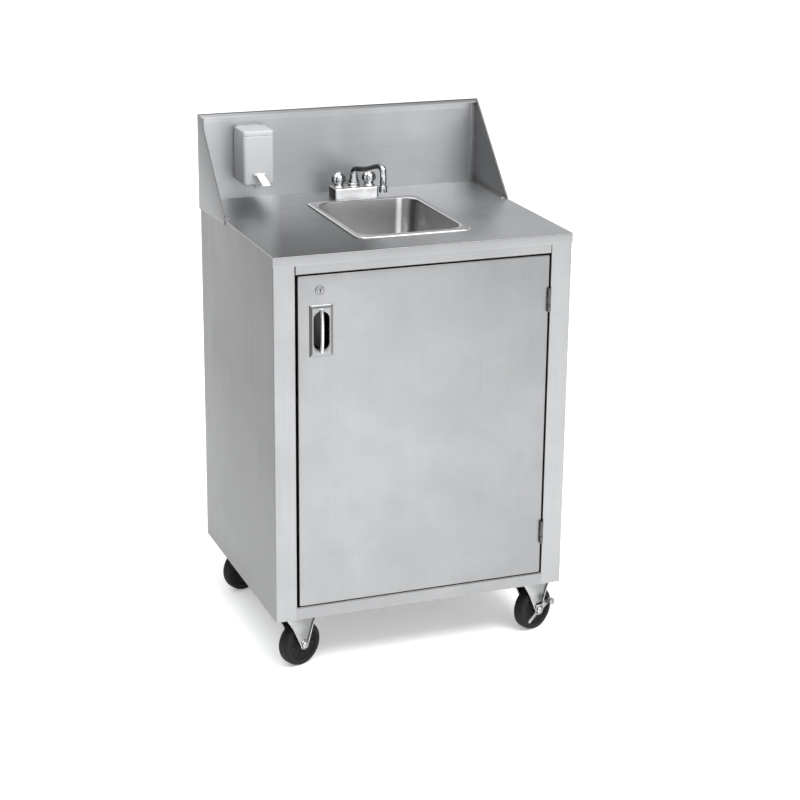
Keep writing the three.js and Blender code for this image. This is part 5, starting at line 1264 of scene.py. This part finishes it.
def caster_fork(name, place, body):
    bm = bmesh.new()
    add_lathe(bm, [(0, FORK_TOP), (25.6, FORK_TOP), (27, FORK_TOP - 0.8), (27, FORK_TOP - 1.8),
                   (26, FORK_TOP - 3), (0, FORK_TOP - 3)], "z", (0, 0, 0), 48)
    add_lathe(bm, [(0, FORK_TOP - 2), (9, FORK_TOP - 2), (8.4, FORK_TOP - 4.6), (6, FORK_TOP - 5.6),
                   (0, FORK_TOP - 5.8)], "z", (0, 0, 0), 32)
    add_box(bm, (-LEAD, TAIL), (-LEG_MID, LEG_MID), (FORK_TOP - 3, FORK_TOP), 1.2)
    for face in (-1, 1):
        near, mid, far = face * LEG_IN, face * LEG_MID, face * LEG_OUT
        outer, inner = leg_outline(0), leg_outline(3)
        add_prism(bm, shrink(outer, 0.2), "y", *sorted((near, mid)), 0.3)
        rim = [(shrink(outer, 0.1), near), (outer, near + face * 0.5), (outer, far - face * 0.7),
               (shrink(outer, 0.8), far), (leg_outline(2.2), far), (inner, far - face * 0.7),
               (inner, mid - face * 0.4)]
        add_loft(bm, rim + [(inner, near)], "y", loop=True)
        add_lathe(bm, [(5.1, near), (10.4, near), (10.4, far - face * 0.8), (9.8, far), (5.1, far)],
                  "y", (AXLE_X, 0, AXLE_Z), 36, closed=True)
    dress(stand(make(name, bm, ZINC, 36), place), name, body)


def caster_wheel(name, place, body):
    half = [(5.1, 14), (9, 14), (9.6, 13.6), (9.6, 12.6), (16.6, 12.6), (17, 14), (18.1, 13.8),
            (19.3, 10.8), (20.6, 10), (33.4, 10), (34.8, 10.8), (36, 13.3), (37, 13.7), (44, 13.7),
            (46.5, 12.8), (48.6, 10.8), (49.6, 8), (50, 4.5), (50, 0.5)]
    profile = half + [(49.6, 0)] + [(r, -h) for r, h in reversed(half)]
    bm = bmesh.new()
    add_lathe(bm, profile, "y", (AXLE_X, 0, AXLE_Z), 72, closed=True)
    for face in (-1, 1):
        for k in range(10):
            a = 2 * math.pi * k / 10
            u, v = math.cos(a), math.sin(a)
            rib = [Vector((AXLE_X + r * u, face * 10.2, AXLE_Z + r * v)) for r in (18.5, 26, 35.4)]
            add_tube(bm, rib, 1.3, 10)
    dress(stand(make(name, bm, TYRE, 30), place), name, body)


def caster_axle(name, place, body, braked):
    near = -LEG_OUT - 0.3 - (2.3 if braked else 0)
    far = LEG_OUT + 0.3
    centre = (AXLE_X, 0, AXLE_Z)
    bm = bmesh.new()
    add_lathe(bm, [(0, near - 3.9), (6, near - 3.9), (6.4, near - 3.6), (7.9, near - 1), (7.9, near),
                   (4.8, near), (4.8, far), (7.9, far), (7.9, far + 0.9), (4, far + 0.9), (4, far + 4.2),
                   (3.4, far + 4.5), (0, far + 4.5)], "y", centre, 36)
    add_prism(bm, disc(6.4, 6, (AXLE_X, AXLE_Z)), "y", near - 4.5, near - 0.8, 0.5)
    add_prism(bm, disc(7.2, 6, (AXLE_X, AXLE_Z), 0.5), "y", far + 0.8, far + 3.9, 0.5)
    dress(stand(make(name, bm, ZINC), place), name, body)


def caster_brake(name, place, body):
    cx, cz = AXLE_X, AXLE_Z
    far = -LEG_OUT - 0.3
    near = far - 2
    bm = bmesh.new()

    def strip(dx, dz, width):
        target = Vector((cx + dx, cz + dz))
        along = (target - Vector((cx, cz))).normalized()
        across = Vector((-along.y, along.x)) * width / 2
        root = Vector((cx, cz)) + along * 7
        outline = [root + across, root - across, target - across,
                   target - across * 0.5 + along * width * 0.36,
                   target + across * 0.5 + along * width * 0.36, target + across]
        add_prism(bm, [tuple(p) for p in outline], "y", near, far, 0.4)
        return target

    strip(-31, -21, 8)
    tab = strip(28, 15, 13)
    add_prism(bm, rounded(tab.x, tab.y, 6.5, 6.5, 3.2, 4), "y", near - 13, far, 0.9)
    for k in range(4):
        rib = [Vector((tab.x + u, near - 2.6 - 2.8 * k, tab.y + 6.3)) for u in (-5, 5)]
        add_tube(bm, rib, 0.5, 8)
    add_lathe(bm, [(5.1, near), (12, near), (12.5, near + 0.5), (12.5, far - 0.4), (12.1, far), (5.1, far)],
              "y", (cx, 0, cz), 40, closed=True)
    dress(stand(make(name, bm, ZINC), place), name, body)


CASTERS = (("front_left", -1, -221.5, False), ("front_right", 1, -221.5, True),
           ("rear_left", -1, 207.5, False), ("rear_right", 1, 207.5, True))
for corner, side, y, braked in CASTERS:
    place = (side * CASTER_X, y)
    caster_plate(corner + "_caster_plate", place)
    caster_fork(corner + "_caster_fork", place, corner + "_swivel")
    caster_wheel(corner + "_caster_wheel", place, corner + "_wheel")
    caster_axle(corner + "_caster_axle", place, corner + "_swivel", braked)
    if braked:
        caster_brake(corner + "_caster_brake", place, corner + "_brake")

# Floor, light and camera


def floor():
    """A plain pale floor."""
    bm = bmesh.new()
    bmesh.ops.create_grid(bm, x_segments=1, y_segments=1, size=40.0)
    mesh = bpy.data.meshes.new("floor")
    bm.to_mesh(mesh)
    bm.free()
    obj = added("floor", mesh)
    n = Nodes("pale_floor", (0.86, 0.86, 0.86), 0.9, Emission_Color=(1, 1, 1, 1), Emission_Strength=0.27)
    mesh.materials.append(n.mat)


def area(name, place, aim, size, power):
    data = bpy.data.lights.new(name, "AREA")
    data.shape = "RECTANGLE"
    data.size = size
    data.size_y = size
    data.energy = power
    obj = added(name, data)
    obj.location = place
    obj.rotation_mode = "QUATERNION"
    obj.rotation_quaternion = (Vector(aim) - Vector(place)).to_track_quat("-Z", "Y")


def lights():
    """A soft overhead light, one more for the floor in front, and a sky that is brightest ahead and above."""
    sun = bpy.data.lights.new("soft_overhead", "SUN")
    sun.energy = 1.8
    sun.angle = math.radians(50)
    obj = added("soft_overhead", sun)
    obj.rotation_mode = "QUATERNION"
    obj.rotation_quaternion = Vector((0.24, 0.30, -1.0)).to_track_quat("-Z", "Y")
    area("front_floor_light", (0.9, -2.3, 3.6), (0.8, -1.8, 0.0), 2.0, 150)
    world = bpy.data.worlds.new("studio")
    bpy.context.scene.world = world
    world.use_nodes = True
    tree = world.node_tree
    way = tree.nodes.new("ShaderNodeTexCoord")
    towards = tree.nodes.new("ShaderNodeVectorMath")
    towards.operation = "DOT_PRODUCT"
    towards.inputs[1].default_value = (0.1, -0.425, 0.25)
    shifted = tree.nodes.new("ShaderNodeMath")
    shifted.inputs[1].default_value = 0.5
    ramp = tree.nodes.new("ShaderNodeValToRGB")
    tree.links.new(way.outputs["Generated"], towards.inputs[0])
    tree.links.new(towards.outputs["Value"], shifted.inputs[0])
    tree.links.new(shifted.outputs[0], ramp.inputs["Fac"])
    tree.links.new(ramp.outputs["Color"], tree.nodes["Background"].inputs["Color"])
    ramp.color_ramp.elements[0].color = (0.48, 0.49, 0.50, 1)
    ramp.color_ramp.elements[1].color = (0.60, 0.61, 0.62, 1)
    for stop, level in ((0.25, 0.48), (0.6, 0.62), (0.75, 0.75), (0.95, 1.2)):
        ramp.color_ramp.elements.new(stop).color = (level * 0.98, level, level * 1.01, 1)
    ramp.color_ramp.elements[-1].color = (1.2, 1.2, 1.2, 1)
    tree.nodes["Background"].inputs["Strength"].default_value = 1.0
    bpy.context.scene.view_settings.view_transform = "Standard"


def camera():
    """The camera fitted to the photo."""
    data = bpy.data.cameras.new("camera")
    sensor, picture, focal = 36.0, 800, 2026.8
    data.sensor_width = sensor
    data.lens = focal / picture * sensor
    obj = added("camera", data)
    yaw, pitch, roll = (math.radians(a) for a in (20.989, 18.418, 0.579))
    ahead = Vector((math.sin(yaw) * math.cos(pitch), math.cos(yaw) * math.cos(pitch), -math.sin(pitch)))
    obj.location = (-1.4941, -4.0183, 1.9321)
    obj.rotation_mode = "QUATERNION"
    look = ahead.to_track_quat("-Z", "Y")
    obj.rotation_quaternion = look @ Matrix.Rotation(roll, 3, "Z").to_quaternion()
    data.clip_start, data.clip_end = 0.1, 100
    bpy.context.scene.camera = obj


camera()
floor()
lights()

bpy.context.view_layer.update()
